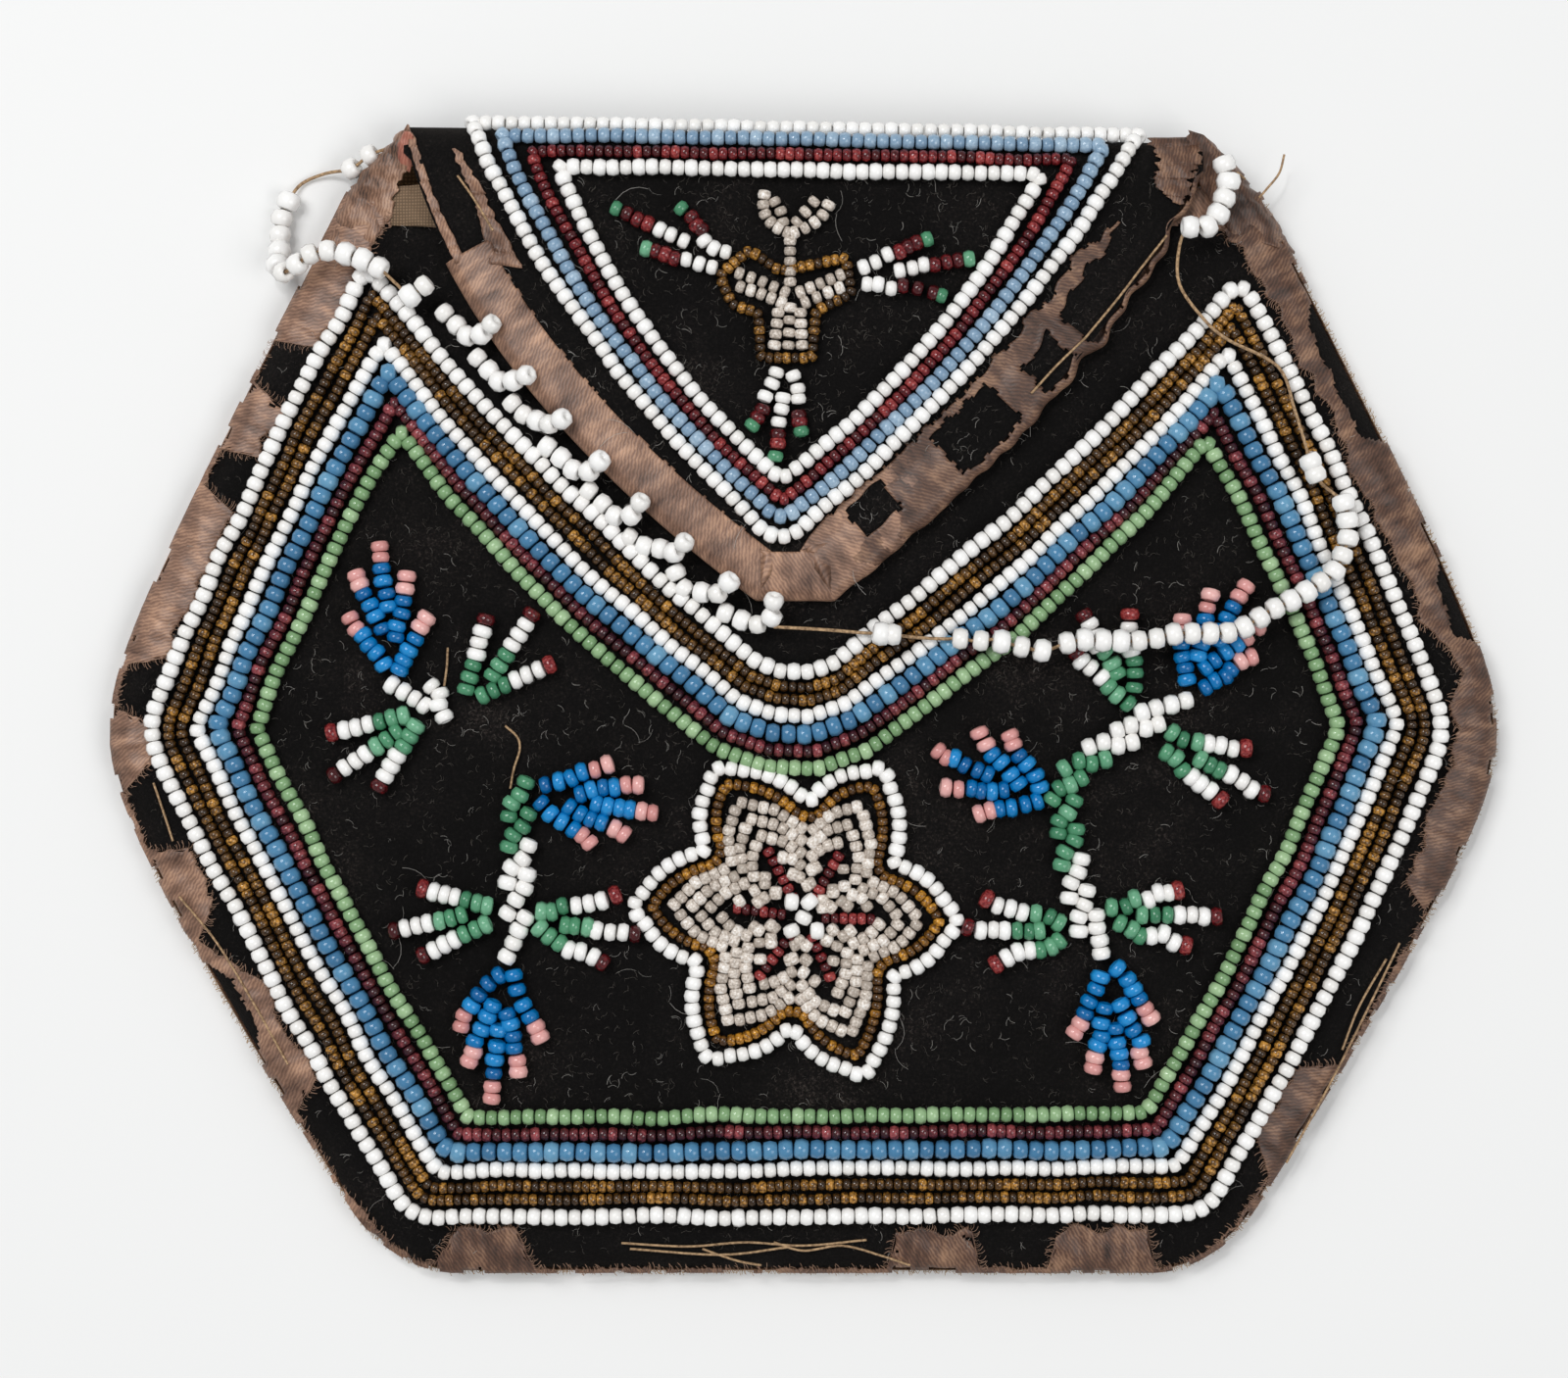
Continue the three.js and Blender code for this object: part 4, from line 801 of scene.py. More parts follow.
def torn_reach(p, base):
    """A width of silk whose free edge is torn along its threads."""
    slow = waver(p.x, p.y, 2.6, 2.6, 1.0)
    quick = waver(p.x, p.y, 0.55, 0.55, 2.0)
    return max(base * (1 + 0.25 * slow) + 0.5 * MM * quick, 0.15 * MM)


def left_of(along):
    """Square to a direction, on its left: inwards, on a line that runs round the pouch."""
    return Vector((-along.y, along.x))


def map_ribbon(mesh, places):
    """Lays the weave on a mesh, from a place for each of its points."""
    layer = mesh.uv_layers.new(name="ribbon")
    for loop in mesh.loops:
        layer.data[loop.index].uv = places[loop.vertex_index]


def ribbon_round(name, line, section, keep, material):
    """A ribbon folded round a line: a section of points at each step, less the faces that are torn away."""
    points, uvs, faces = [], [], []
    rows = even_steps(line, SILK_STEP)
    for k, (p, distance) in enumerate(rows):
        after = rows[min(k + 1, len(rows) - 1)][0]
        before = rows[max(k - 1, 0)][0]
        ring = section(p, left_of((after - before).normalized()), distance)
        count = len(ring)
        points.extend(tuple(place) for place, _ in ring)
        uvs.extend((distance, across) for _, across in ring)
    for k in range(len(rows) - 1):
        for j in range(count - 1):
            if keep(rows[k][0], rows[k][1], uvs[k * count + j][1]):
                a = k * count + j
                faces.append((a, a + 1, a + count + 1, a + count))
    made = mesh_object(name, points, faces=faces)
    map_ribbon(made.data, uvs)
    made.data.shade_smooth()
    made.data.materials.append(material)
    return made


rim_rows = even_steps(rim_line(), SILK_STEP)
silk_marks = distances_along(rim_rows, SILK_LEFT_BY)
gone_marks = distances_along(rim_rows, SILK_GONE_BY)


def body_section(p, inward, distance):
    """Over the front as far as the silk still goes, round the rim and under the back, puckered."""
    ring = []
    reach = torn_reach(p, between_marks(silk_marks, distance))
    for j in range(LIP_STEPS + 1):
        inset = reach * (1 - j / LIP_STEPS)
        q = p + inward * inset
        roll = EDGE_ROLL_DROP * (1 - min(inset / EDGE_ROLL_WIDTH, 1)) ** 2
        fold = waver(q.x, q.y, 2.4, 2.4, 3.0) * 0.3 * MM
        crease = waver(distance, inset, 0.9, 6, 5.0) * 0.12 * MM
        ring.append((Vector((q.x, q.y, front_top(q.x, q.y) - roll + 0.42 * MM + fold + crease)), -inset))
    top, bottom = ring[-1][0].z, RIBBON_SHELL
    for j in range(1, 5):
        turn = math.pi * j / 5
        height = (top + bottom) / 2 + (top - bottom) / 2 * math.cos(turn)
        q = p - inward * 0.35 * MM * (math.sin(turn) - 1)
        ring.append((Vector((q.x, q.y, height)), 0.6 * MM * j))
    for j in range(UNDER_STEPS + 1):
        inset = UNDER_LIP * j / UNDER_STEPS + 0.3 * MM
        q = p + inward * inset
        ring.append((Vector((q.x, q.y, bottom)), 3 * MM + inset))
    return ring


def body_keep(p, distance, across):
    """Rubbed through in spots on the rim, and worn away with ragged sides where the tables say."""
    rubbed = noise.noise(Vector((p.x / (2.6 * MM), p.y / (2.6 * MM), across / (2 * MM))))
    if across > 1.5 * MM:
        return True
    if -across < between_marks(gone_marks, distance) + 0.5 * rubbed * MM:
        return False
    if across > -0.8 * MM:
        return rubbed < 0.12
    ragged = waver(across, distance, 0.7, 4, 8.0) * 2.2 * MM
    return -across < between_marks(silk_marks, distance + ragged) + 0.9 * MM


body_binding = ribbon_round("body_binding_ribbon", rim_line(), body_section, body_keep, silk_brown)
DARK_FROM_X = 25 * MM
DARK_BELOW_Y = -62 * MM
body_binding.data.materials.append(silk_dark)
for face in body_binding.data.polygons:
    face.material_index = int(face.center.x > DARK_FROM_X or face.center.y < DARK_BELOW_Y)
thicken(body_binding, RIBBON_SHELL)
sew_on(body_binding, "silk_ribbon", "body_binding")


# Velvet edge under the binding: the front and the back panel are turned together at the rim in
# a soft roll, which shows where the ribbon has gone.
def edge_roll_section(p, inward, distance):
    ring = []
    for j in range(9):
        turn = math.pi * j / 8
        inset = 2.6 * MM * (1 - math.sin(turn)) + EDGE_INSET
        q = p + inward * inset
        low = BACK_Z + 0.3 * MM
        high = front_top(q.x, q.y) - EDGE_ROLL_DROP * (1 - min(inset / EDGE_ROLL_WIDTH, 1)) ** 2 - 0.05 * MM
        z = (high + low) / 2 + (high - low) / 2 * math.cos(turn)
        ring.append((Vector((q.x, q.y, z)), inset))
    return ring


edge_roll = ribbon_round("rim_velvet_roll", rim_line(), edge_roll_section, lambda *_: True, velvet_black)
thicken(edge_roll, RIBBON_SHELL)
sew_on(edge_roll, "velvet")

# Ribbon over the mouth: the same silk over the front panel's top edge, worn through near the
# left shoulder so that the lining cloth shows.
MOUTH_RIBBON_HALF = 50.5 * MM


def turned_edge(p, inward, top, bottom, bulge):
    """Round the ribbon's fold, from its upper to its lower side."""
    ring = []
    for j in range(1, 4):
        turn = math.pi * j / 4
        q = p - inward * bulge * math.sin(turn)
        ring.append((Vector((q.x, q.y, (top + bottom) / 2 + (top - bottom) / 2 * math.cos(turn))), 0.5 * MM * j))
    return ring


def mouth_section(p, inward, distance):
    ring = []
    for j in range(17):
        inset = 5.2 * MM * (1 - j / 16)
        q = p + inward * inset
        pucker = waver(distance, inset, 2, 4, 9.0) * 0.2 * MM
        ring.append((Vector((q.x, q.y, front_top(q.x, q.y) + 0.22 * MM + pucker)), -inset))
    top = ring[-1][0].z
    bottom = top - VELVET - CLEARANCE - LINING - 0.5 * MM
    ring += turned_edge(p, inward, top, bottom, 0.3 * MM)
    for j in range(5):
        inset = 3.6 * MM * j / 4
        q = p + inward * inset
        ring.append((Vector((q.x, q.y, front_top(q.x, q.y) + bottom - top)), 2 * MM + inset))
    return ring


def mouth_keep(p, distance, across):
    worn = -48.6 * MM < p.x < -42 * MM and across < 1 * MM
    frayed = waver(p.x, across, 1.0, 3.0, 4.0)
    return not worn and (across > 0 or -across < (4.6 + 1.2 * frayed) * MM)


mouth_line = [Vector((MOUTH_RIBBON_HALF, MOUTH_Y)), Vector((-MOUTH_RIBBON_HALF, MOUTH_Y))]
mouth_binding = ribbon_round("mouth_binding_ribbon", mouth_line, mouth_section, mouth_keep, silk_brown)
thicken(mouth_binding, RIBBON_SHELL)
sew_on(mouth_binding, "silk_ribbon", "mouth_binding")

# Ribbon round the flap: whole and smooth on the left and round the point. On the right it has
# come open and lies flat up to the beads, with square holes where the silk has rotted away.
FLAP_RIBBON_TOP = 0.76
FLAP_RIBBON = 6.2 * MM
FLAP_RIBBON_OPEN = 9.0 * MM


def flap_line():
    left_side, right_side = [], []
    for i in range(41):
        share = FLAP_RIBBON_TOP * (1 - i / 40)
        left, right = flap_edges(share)
        left_side.append(Vector((left, FLAP_TIP_Y + (fold_at(left)[1] - FLAP_TIP_Y) * share)))
        top_share = share / FLAP_RIBBON_TOP
        left, right = flap_edges(top_share)
        right_side.append(Vector((right, FLAP_TIP_Y + (fold_at(right)[1] - FLAP_TIP_Y) * top_share)))
    return left_side + right_side[::-1]


def flap_section(p, inward, distance):
    """The fold at the flap's edge; on the right it has come open and lies flat up to the beads."""
    ring = []
    opened = min(max((p.x - 2 * MM) / (8 * MM), 0), 1)
    width = FLAP_RIBBON + (FLAP_RIBBON_OPEN - FLAP_RIBBON) * opened
    p = p + inward * noise.noise(Vector((distance / (3.2 * MM), 4.0, 1.0))) * 0.9 * MM * opened
    for j in range(27):
        inset = width * (1 - j / 26)
        q = p + inward * inset
        puff = 0.35 * MM * math.sin(math.pi * min(inset / (6 * MM), 1))
        pucker = waver(distance, inset, 3, 4, 5.0) * 0.15 * MM
        drop = 0.5 * MM * (1 - min(inset / (1.2 * MM), 1)) ** 2
        ring.append((Vector((q.x, q.y, flap_top(q.x, q.y) + 0.25 * MM + puff + pucker - drop)), -inset))
    top = ring[-1][0].z
    bottom = flap_top(p.x, p.y) - SHEET_DEPTH - 0.2 * MM
    ring += turned_edge(p, inward, top, bottom, 0.25 * MM)
    for j in range(5):
        inset = 4 * MM * j / 4
        q = p + inward * inset
        ring.append((Vector((q.x, q.y, flap_top(q.x, q.y) - SHEET_DEPTH - 0.2 * MM)), 2 * MM + inset))
    return ring


# Holes in the silk on the right side: from and to which height, and how far in from the edge.
FLAP_SILK_HOLES = (
    (16.2, 19.8, 3.2, 7.2), (25.2, 32.0, 1.0, 7.4), (35.0, 39.2, 0.8, 5.2), (41.2, 70.0, 0.5, 6.2),
)


def flap_keep(p, distance, across):
    """Whole on the left; on the right square holes where the cross threads have rotted away."""
    torn = waver(p.x, p.y, 1.0, 1.0, 2.0)
    inset = -across / MM
    if p.x < 3 * MM:
        return across > 0 or inset < 5.7 + 0.12 * torn
    if across > 0:
        return True
    level = p.y / MM
    rough = waver(p.x, across, 1.3, 1.1, 6.0)
    for low, high, near, far in FLAP_SILK_HOLES:
        if low + 0.5 * rough < level < high + 0.5 * rough and near + 0.4 * torn < inset < far + 0.7 * rough:
            return False
    return inset < (8.2 if level < 48 else 8.2 - (level - 48) * 0.35) + 0.6 * torn


flap_binding = ribbon_round("flap_binding_ribbon", flap_line(), flap_section, flap_keep, silk_brown)
flap_binding.data.materials.append(silk_dark)
for face in flap_binding.data.polygons:
    patchy = noise.noise(face.center / (3 * MM)) * 7 * MM
    face.material_index = int(face.center.x + patchy > 9 * MM)
thicken(flap_binding, RIBBON_SHELL)
sew_on(flap_binding, "silk_ribbon", "flap_binding")


# Scraps of cloth at the shoulders and along the flap: what is left of ribbon and lining where
# the binding has worn away. Each lies between a left and a right edge.
def patch_object(name, left, right, height, material, rows=40, columns=18, torn=0.5 * MM):
    """A thin piece of cloth between two edges, in mm, at a height, with wrinkles and torn sides."""
    edges = [catmull([Vector((x, y, 0)) * MM for x, y in side], 12) for side in (left, right)]

    def place(share, across):
        a, b = (edge[round(share * (len(edge) - 1))] for edge in edges)
        ragged = noise.noise(Vector((share * 23, 5 * round(across), 1.5))) * torn
        q = a.lerp(b, across) + (b - a).normalized() * ragged * abs(2 * across - 1)
        wrinkle = noise.noise(q / (2.0 * MM)) * 0.6 * MM + noise.noise(q / (0.8 * MM)) * 0.18 * MM
        return Vector((q.x, q.y, height(q.x, q.y, share, across) + wrinkle))

    piece = grid_object(name, rows, columns, place)
    if piece.data.polygons[0].normal.z < 0:
        piece.data.flip_normals()
    map_ribbon(piece.data, [(v.co.x + 0.4 * v.co.y, v.co.y - 0.4 * v.co.x) for v in piece.data.vertices])
    piece.data.materials.append(material)
    thicken(piece, RIBBON_SHELL)
    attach(piece, "root")
    return piece


def over_shoulder(x, y, share, across):
    """From beside the fold down on to the front, rolled under at its outer edge."""
    outer = max(1 - across * 3, 0) if x < 0 else max(across * 3 - 2, 0)
    return front_top(x, min(y, MOUTH_Y)) + (1.3 - 1.6 * share) * MM - 2.2 * MM * outer ** 2 + 0.6 * MM


silk_rose = silk_satin("faded_rose_silk", "#6E3A2E", "#A0604E", "#C88E78")
shoulder_silk_left = patch_object(
    "shoulder_silk_left",
    ((-47.0, 68.0), (-49.6, 65.6), (-52.3, 62.8), (-54.6, 60.0), (-56.2, 57.0), (-58.4, 53.0)),
    ((-46.4, 67.4), (-46.7, 64.6), (-47.4, 62.0), (-48.4, 59.6), (-49.2, 57.0), (-51.5, 53.4)),
    over_shoulder, silk_painted_fold_shade,
)
rose_scrap = patch_object(
    "rose_silk_scrap", ((-47.4, 67.0), (-48.6, 65.2), (-48.2, 62.8)), ((-46.2, 66.6), (-46.0, 64.6), (-46.6, 62.2)),
    lambda x, y, share, across: over_shoulder(x, y, share, across) + 0.9 * MM, silk_rose, 16, 8, 0.3 * MM,
)
soiled_cotton = plain_cotton("soiled_lining_cotton", "#4E3E2E", "#8C735A", 0.36)
mouth_lining_scrap = patch_object(
    "mouth_lining_scrap", ((-49.2, 60.6), (-49.4, 58.4), (-49.0, 56.0)), ((-42.0, 61.0), (-42.2, 58.4), (-42.6, 55.6)),
    lambda x, y, share, across: front_top(x, min(y, MOUTH_Y)) + 0.5 * MM, soiled_cotton, 24, 24, 0.4 * MM,
)
shoulder_silk_right = patch_object(
    "shoulder_silk_right",
    ((45.4, 67.0), (45.6, 64.6), (46.4, 61.6), (48.6, 58.4), (50.6, 54.8)),
    ((48.2, 66.2), (51.0, 63.8), (53.6, 60.8), (56.2, 57.2), (58.8, 53.0)),
    over_shoulder, silk_dark,
)


def over_flap(lift):
    return lambda x, y, share, across: on_flap(x, y, lift).z


flap_strip_left = patch_object(
    "flap_silk_strip_left", ((-41.4, 64.6), (-39.4, 60.0), (-38.0, 56.0), (-37.0, 51.0)),
    ((-40.8, 64.8), (-38.0, 60.0), (-35.8, 55.6), (-33.0, 50.4)),
    over_flap(0.45 * MM), silk_brown, 40, 10, 0.4 * MM,
)
flap_edge_left = patch_object(
    "flap_turned_edge_left", ((-46.9, 66.6), (-45.4, 61.6), (-43.4, 56.4), (-41.0, 51.0)),
    ((-46.1, 66.8), (-44.5, 61.8), (-42.4, 56.6), (-39.6, 51.2)), over_flap(0.4 * MM), silk_brown, 40, 6, 0.2 * MM,
)
flap_corner_right = patch_object(
    "flap_silk_corner_right", ((40.6, 66.2), (41.8, 63.4), (41.4, 60.8), (43.2, 58.4)),
    ((46.8, 66.4), (46.6, 63.4), (45.4, 60.6), (44.4, 58.0)),
    over_flap(0.5 * MM), silk_dark, 40, 14, 0.9 * MM,
)

# Threads left in the cloth: the binding's running stitches, long since bare, and loose ends.
THREADS_ON_FRONT = (
    ((-77.1, -10.1), (-75.9, -13.6), (-74.8, -17.0)),
    ((-74.1, -23.6), (-69.6, -29.1), (-65.4, -36.0), (-61.2, -43.5)),
    ((-21.6, -64.7), (-13.8, -65.1), (-6.9, -64.6), (0.0, -65.0), (7.5, -64.3)),
    ((-20.6, -65.4), (-9.8, -66.1), (-1.9, -65.2)),
    ((-3.5, -64.6), (0.0, -65.6), (4.6, -65.0), (9.2, -66.2), (12.7, -67.4)),
    ((-12, -65.4), (-8.0, -66.8), (-5.0, -67.4)),
    ((70.8, -29.1), (66.9, -37.2), (62.6, -45.8), (57.4, -55.3)),
    ((69.2, -31.0), (66.0, -36.6), (64.0, -41.8)),
    ((-41.9, 5.9), (-42.0, 3.7), (-42.3, 1.4)),
    ((-35.1, -3.3), (-33.7, -4.6), (-33.4, -6.1), (-34.1, -8.4), (-34.5, -10.7)),
    ((54.1, 59.4), (55.2, 60.6), (56.6, 62.4), (57.2, 64.6)),
    ((50.6, 63.0), (52.4, 61.6)),
)
THREADS_ON_FLAP = (
    ((-40.6, 61.4), (-38.6, 58.5), (-36.4, 54.8)),
    ((42.6, 54.3), (39.7, 50.6), (36.8, 46.8), (33.0, 42.2)),
    ((33.0, 42.2), (29.6, 38.9), (26.6, 35.6)),
)
SEWING_THREAD = 0.28 * MM
seam_lines = [
    catmull([on_front(x * MM, min(y * MM, MOUTH_Y + 6 * MM), SEWING_THREAD / 2 + 0.35 * MM) for x, y in line], 8)
    for line in THREADS_ON_FRONT
] + [
    catmull([on_flap(x * MM, y * MM, SEWING_THREAD / 2 + 0.55 * MM) for x, y in line], 8)
    for line in THREADS_ON_FLAP
]
seam_threads = thread_object("binding_seam_threads", seam_lines, SEWING_THREAD, linen_thread)
sew_on(seam_threads, "silk_ribbon")


# Frayed edges and lint: ends of weft thread that stand out where cloth is torn, and the fluff of
# wear on the velvet. Every fibre is a short bent hair, set by one tree.
def fibre_tree():
    """Short bent hairs along a path, turned and sized at random about its side."""
    tree, given = new_tree("short_fibres", "Fibres", (
        ("Geometry", ("Path",)), ("Float", ("Spacing", "Length", "Thickness", "Spread", "Rise")),
        ("Int", ("Seed",)), ("Material", ("Fibre",)),
    ))
    path = add_node(tree, "GeometryNodeMeshToCurve", {"Mesh": given["Path"]})
    spaced = add_node(tree, "GeometryNodeResampleCurve", {
        "Curve": path.outputs["Curve"], "Length": given["Spacing"],
    }, mode="LENGTH")
    along = add_node(tree, "GeometryNodeInputTangent")
    number = add_node(tree, "GeometryNodeInputIndex")
    half = add_node(tree, "ShaderNodeVectorMath", {0: (0.3, 0.5, 0.25), "Scale": given["Length"]}, operation="SCALE")
    end = add_node(tree, "ShaderNodeVectorMath", {0: (-0.1, 1.0, 0.1), "Scale": given["Length"]}, operation="SCALE")
    hair = add_node(tree, "GeometryNodeCurveQuadraticBezier", {
        "Resolution": 4, "Start": (0.0, 0.0, 0.0), "Middle": half.outputs["Vector"], "End": end.outputs["Vector"],
    })
    thin = add_node(tree, "ShaderNodeMath", {0: given["Thickness"], 1: 0.5}, operation="MULTIPLY")
    round_section = add_node(tree, "GeometryNodeCurvePrimitiveCircle", {
        "Resolution": 3, "Radius": thin.outputs["Value"],
    })
    solid_hair = add_node(tree, "GeometryNodeCurveToMesh", {
        "Curve": hair.outputs["Curve"], "Profile Curve": round_section.outputs["Curve"], "Fill Caps": True,
    })
    facing = add_node(tree, "FunctionNodeAlignRotationToVector", {
        "Vector": along.outputs["Tangent"],
    }, axis="X", pivot_axis="Z")
    low = add_node(tree, "ShaderNodeCombineXYZ", {"X": 0.0, "Y": -0.4})
    high = add_node(tree, "ShaderNodeCombineXYZ", {"Y": 0.4})
    minus = add_node(tree, "ShaderNodeMath", {0: given["Spread"], 1: -1.0}, operation="MULTIPLY")
    tree.links.new(minus.outputs["Value"], low.inputs["Z"])
    tree.links.new(given["Spread"], high.inputs["Z"])
    tree.links.new(given["Rise"], high.inputs["X"])
    turn = add_node(tree, "FunctionNodeRandomValue", {
        "Min": low.outputs["Vector"], "Max": high.outputs["Vector"], "ID": number.outputs[0], "Seed": given["Seed"],
    }, data_type="FLOAT_VECTOR")
    turned = add_node(tree, "FunctionNodeEulerToRotation", {"Euler": turn.outputs["Value"]})
    lying = add_node(tree, "FunctionNodeRotateRotation", {
        "Rotation": facing.outputs["Rotation"], "Rotate By": turned.outputs["Rotation"],
    }, rotation_space="LOCAL")
    size = add_node(tree, "FunctionNodeRandomValue", {
        2: 0.35, 3: 1.3, "ID": number.outputs[0], "Seed": given["Seed"],
    }, data_type="FLOAT")
    set_on = add_node(tree, "GeometryNodeInstanceOnPoints", {
        "Points": spaced.outputs["Curve"], "Instance": solid_hair.outputs["Mesh"],
        "Rotation": lying.outputs["Rotation"], "Scale": size.outputs[1],
    })
    solid = add_node(tree, "GeometryNodeRealizeInstances", {"Geometry": set_on.outputs["Instances"]})
    stuff = add_node(tree, "GeometryNodeSetMaterial", {
        "Geometry": solid.outputs["Geometry"], "Material": given["Fibre"],
    })
    add_node(tree, "NodeGroupOutput", {0: stuff.outputs["Geometry"]})
    return tree


short_fibres = fibre_tree()


def fray(name, lines, spacing, length, thickness, spread, rise, fibre, seed):
    """One piece of fibres along lines."""
    piece = set_by_tree(lines_object(name, lines), short_fibres, {
        "Spacing": spacing, "Length": length, "Thickness": thickness, "Spread": spread, "Rise": rise,
        "Seed": seed, "Fibre": fibre,
    })
    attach(piece, "root")
    return piece


def plain_fibre(name, code, roughness=0.8):
    return new_material(name, {"Base Color": linear(code), "Roughness": roughness})[0]


raw_linen = plain_fibre("raw_linen_fibre", "#B08E64")
silk_fibre = plain_fibre("brown_silk_fibre", "#9A7862", 0.5)
grey_fluff = plain_fibre("grey_brown_fluff", "#5A544E")
pale_fluff = plain_fibre("pale_fluff", "#B4B0AA")

silk_edge, bare_edge = [], []
for (p, distance), (after, _) in zip(rim_rows, rim_rows[1:]):
    along = (after - p).normalized()
    inward = Vector((-along.y, along.x))
    reach = torn_reach(p, between_marks(silk_marks, distance))
    q = p + inward * (reach - 0.2 * MM)
    silk_edge.append(on_front(q.x, q.y, 0.55 * MM))
    if p.y < -20 * MM or p.x > 55 * MM:
        bare_edge.append(Vector((*(p + inward * 0.2 * MM), 1.8 * MM)))
left_bare = [q for q in bare_edge if q.x < 0]
right_bare = [q for q in bare_edge if q.x >= 0]
fray("torn_silk_ends", [silk_edge], 0.24 * MM, 0.95 * MM, 0.06 * MM, 0.5, 0.4, silk_fibre, 3)
fray("raw_edge_fringe", [left_bare[::-1], right_bare[::-1]], 0.11 * MM, 0.6 * MM, 0.07 * MM, 1.2, 0.8,
     raw_linen, 4)
chance = random.Random(7)
FLUFF_ROOT = 0.2 * MM
FLUFF_LIFT = 0.04 * MM


def scattered(count, lay, box, on_cloth):
    """Short lines lying every way on the cloth, for fibres to start from."""
    lines = []
    while len(lines) < count:
        x, y = chance.uniform(*box[0]), chance.uniform(*box[1])
        if not on_cloth(x, y):
            continue
        turn = chance.uniform(0, 2 * math.pi)
        end = (x + FLUFF_ROOT * math.cos(turn), y + FLUFF_ROOT * math.sin(turn))
        lines.append([lay(x, y, FLUFF_LIFT), lay(*end, FLUFF_LIFT)])
    return lines


def on_front_cloth(x, y):
    return abs(x) < half_width(y, 3 * MM)


def on_flap_cloth(x, y):
    left, right = flap_edges((y - FLAP_TIP_Y) / (FOLD_Y - FLAP_TIP_Y))
    return left + 5 * MM < x < right - 1.5 * MM


FRONT_BOX = ((-80 * MM, 80 * MM), (-66 * MM, 56 * MM))
FLAP_BOX = ((-44 * MM, 44 * MM), (14 * MM, 62 * MM))
fray("velvet_fluff", scattered(5200, on_front, FRONT_BOX, on_front_cloth)
     + scattered(1300, on_flap, FLAP_BOX, on_flap_cloth), 1 * MM, 0.62 * MM, 0.03 * MM, 3.1, 0.6,
     grey_fluff, 11)
fray("velvet_pale_fluff", scattered(1000, on_front, FRONT_BOX, on_front_cloth)
     + scattered(240, on_flap, FLAP_BOX, on_flap_cloth), 1 * MM, 0.95 * MM, 0.03 * MM, 3.1, 0.4,
     pale_fluff, 12)
fray("loose_hairs", scattered(70, on_front, FRONT_BOX, on_front_cloth)
     + scattered(14, on_flap, FLAP_BOX, on_flap_cloth), 1 * MM, 3.2 * MM, 0.035 * MM, 3.1, 0.1,
     pale_fluff, 13)

# Rows of beads round the front, couched down side by side by hand: white, two of amber, white,
# blue, garnet and green, from the rim inwards.
def closed_row(corners, inset, wander, seed):
    """A closed line through corners taken in by an inset, with bowed sides and rounded corners."""
    count = len(corners)
    sides = []
    for k, (place, _, _, tight) in enumerate(corners):
        along = (corners[(k + 1) % count][0] - place).normalized()
        inward = Vector((-along.y, along.x))
        sides.append((along, inward, place + inward * inset * tight))
    places, rounds = [], []
    for k, (_, rounding, _, tight) in enumerate(corners):
        before, here = sides[k - 1], sides[k]
        turn = math.atan2(before[0].cross(here[0]), before[0].dot(here[0]))
        bend = math.tan(turn / 2)
        radius = rounding - inset * tight * bend
        rounds.append(radius if radius > 0.5 * MM * abs(bend) else 0.25 * MM)
        share = (here[2] - before[2]).cross(here[0]) / before[0].cross(here[0])
        places.append(before[2] + before[0] * share)
    line = []
    for k, (_, _, bow, _) in enumerate(corners):
        along, inward, _ = sides[k]
        enter = places[k] - sides[k - 1][0] * rounds[k]
        leave = places[k] + along * rounds[k]
        for t in (0, 0.2, 0.4, 0.6, 0.8, 1):
            line.append(enter * (1 - t) ** 2 + places[k] * 2 * t * (1 - t) + leave * t * t)
        finish = places[(k + 1) % count] - along * rounds[(k + 1) % count]
        steps = max(int((finish - leave).length / MM), 2)
        for i in range(1, steps):
            share = i / steps
            line.append(leave.lerp(finish, share) - inward * 4 * bow * share * (1 - share))
    return [
        p + Vector((
            waver(p.x, p.y, 7, 7, seed),
            waver(p.x, p.y, 7, 7, seed + 9),
        )) * wander * 2
        for p in line
    ]


def corner(x, y, rounding, bow, tight=1.0):
    return Vector((x, y)) * MM, rounding * MM, bow * MM, tight


FRONT_CORNERS = (
    corner(-51.55, 50.9, 1, 0.8), corner(-78, -3.8, 4, 0.8), corner(-46.6, -61.5, 3, 0),
    corner(47.8, -61, 3, 1), corner(76.4, -3.5, 4, 0.8), corner(51.8, 49.4, 3, -1.6, 0.9),
    corner(-1.3, -0.6, 10, -1.6, 0.9),
)
SEATED = 0.12 * MM
FRONT_ROWS = (
    ("row_white_outer", 0.0, 2.1, 1.62, glass_white, "glass_white"),
    ("row_amber_outer", 2.0, 1.45, 1.0, glass_amber, "glass_amber"),
    ("row_amber_inner", 3.6, 1.45, 1.0, glass_amber, "glass_amber"),
    ("row_white_inner", 5.6, 2.0, 1.55, glass_white, "glass_white"),
    ("row_blue", 7.85, 2.45, 1.85, glass_blue, "glass_blue"),
    ("row_garnet", 9.9, 1.7, 1.15, glass_garnet, "glass_garnet"),
    ("row_green", 12.0, 2.0, 1.45, glass_light_green, "glass_light_green"),
)


def couch_rows(rows, corners, lay, wander, first_seed, drift, start=0.0):
    """Sews rows down side by side: name, inset, bead size and pitch in mm, glass and slot of each."""
    for number, (name, inset, size, pitch, glass, slot) in enumerate(rows):
        line = closed_row(corners, inset * MM, wander, start + number * drift)
        string_beads(
            f"{name}_beads", [[lay(p.x, p.y, size * MM / 2 + SEATED) for p in line]], size * MM, pitch * MM,
            glass, [name], slot, closed=True, seed=first_seed + number,
        )


couch_rows(FRONT_ROWS, FRONT_CORNERS, on_front, 0.2 * MM, 0, 0.2)

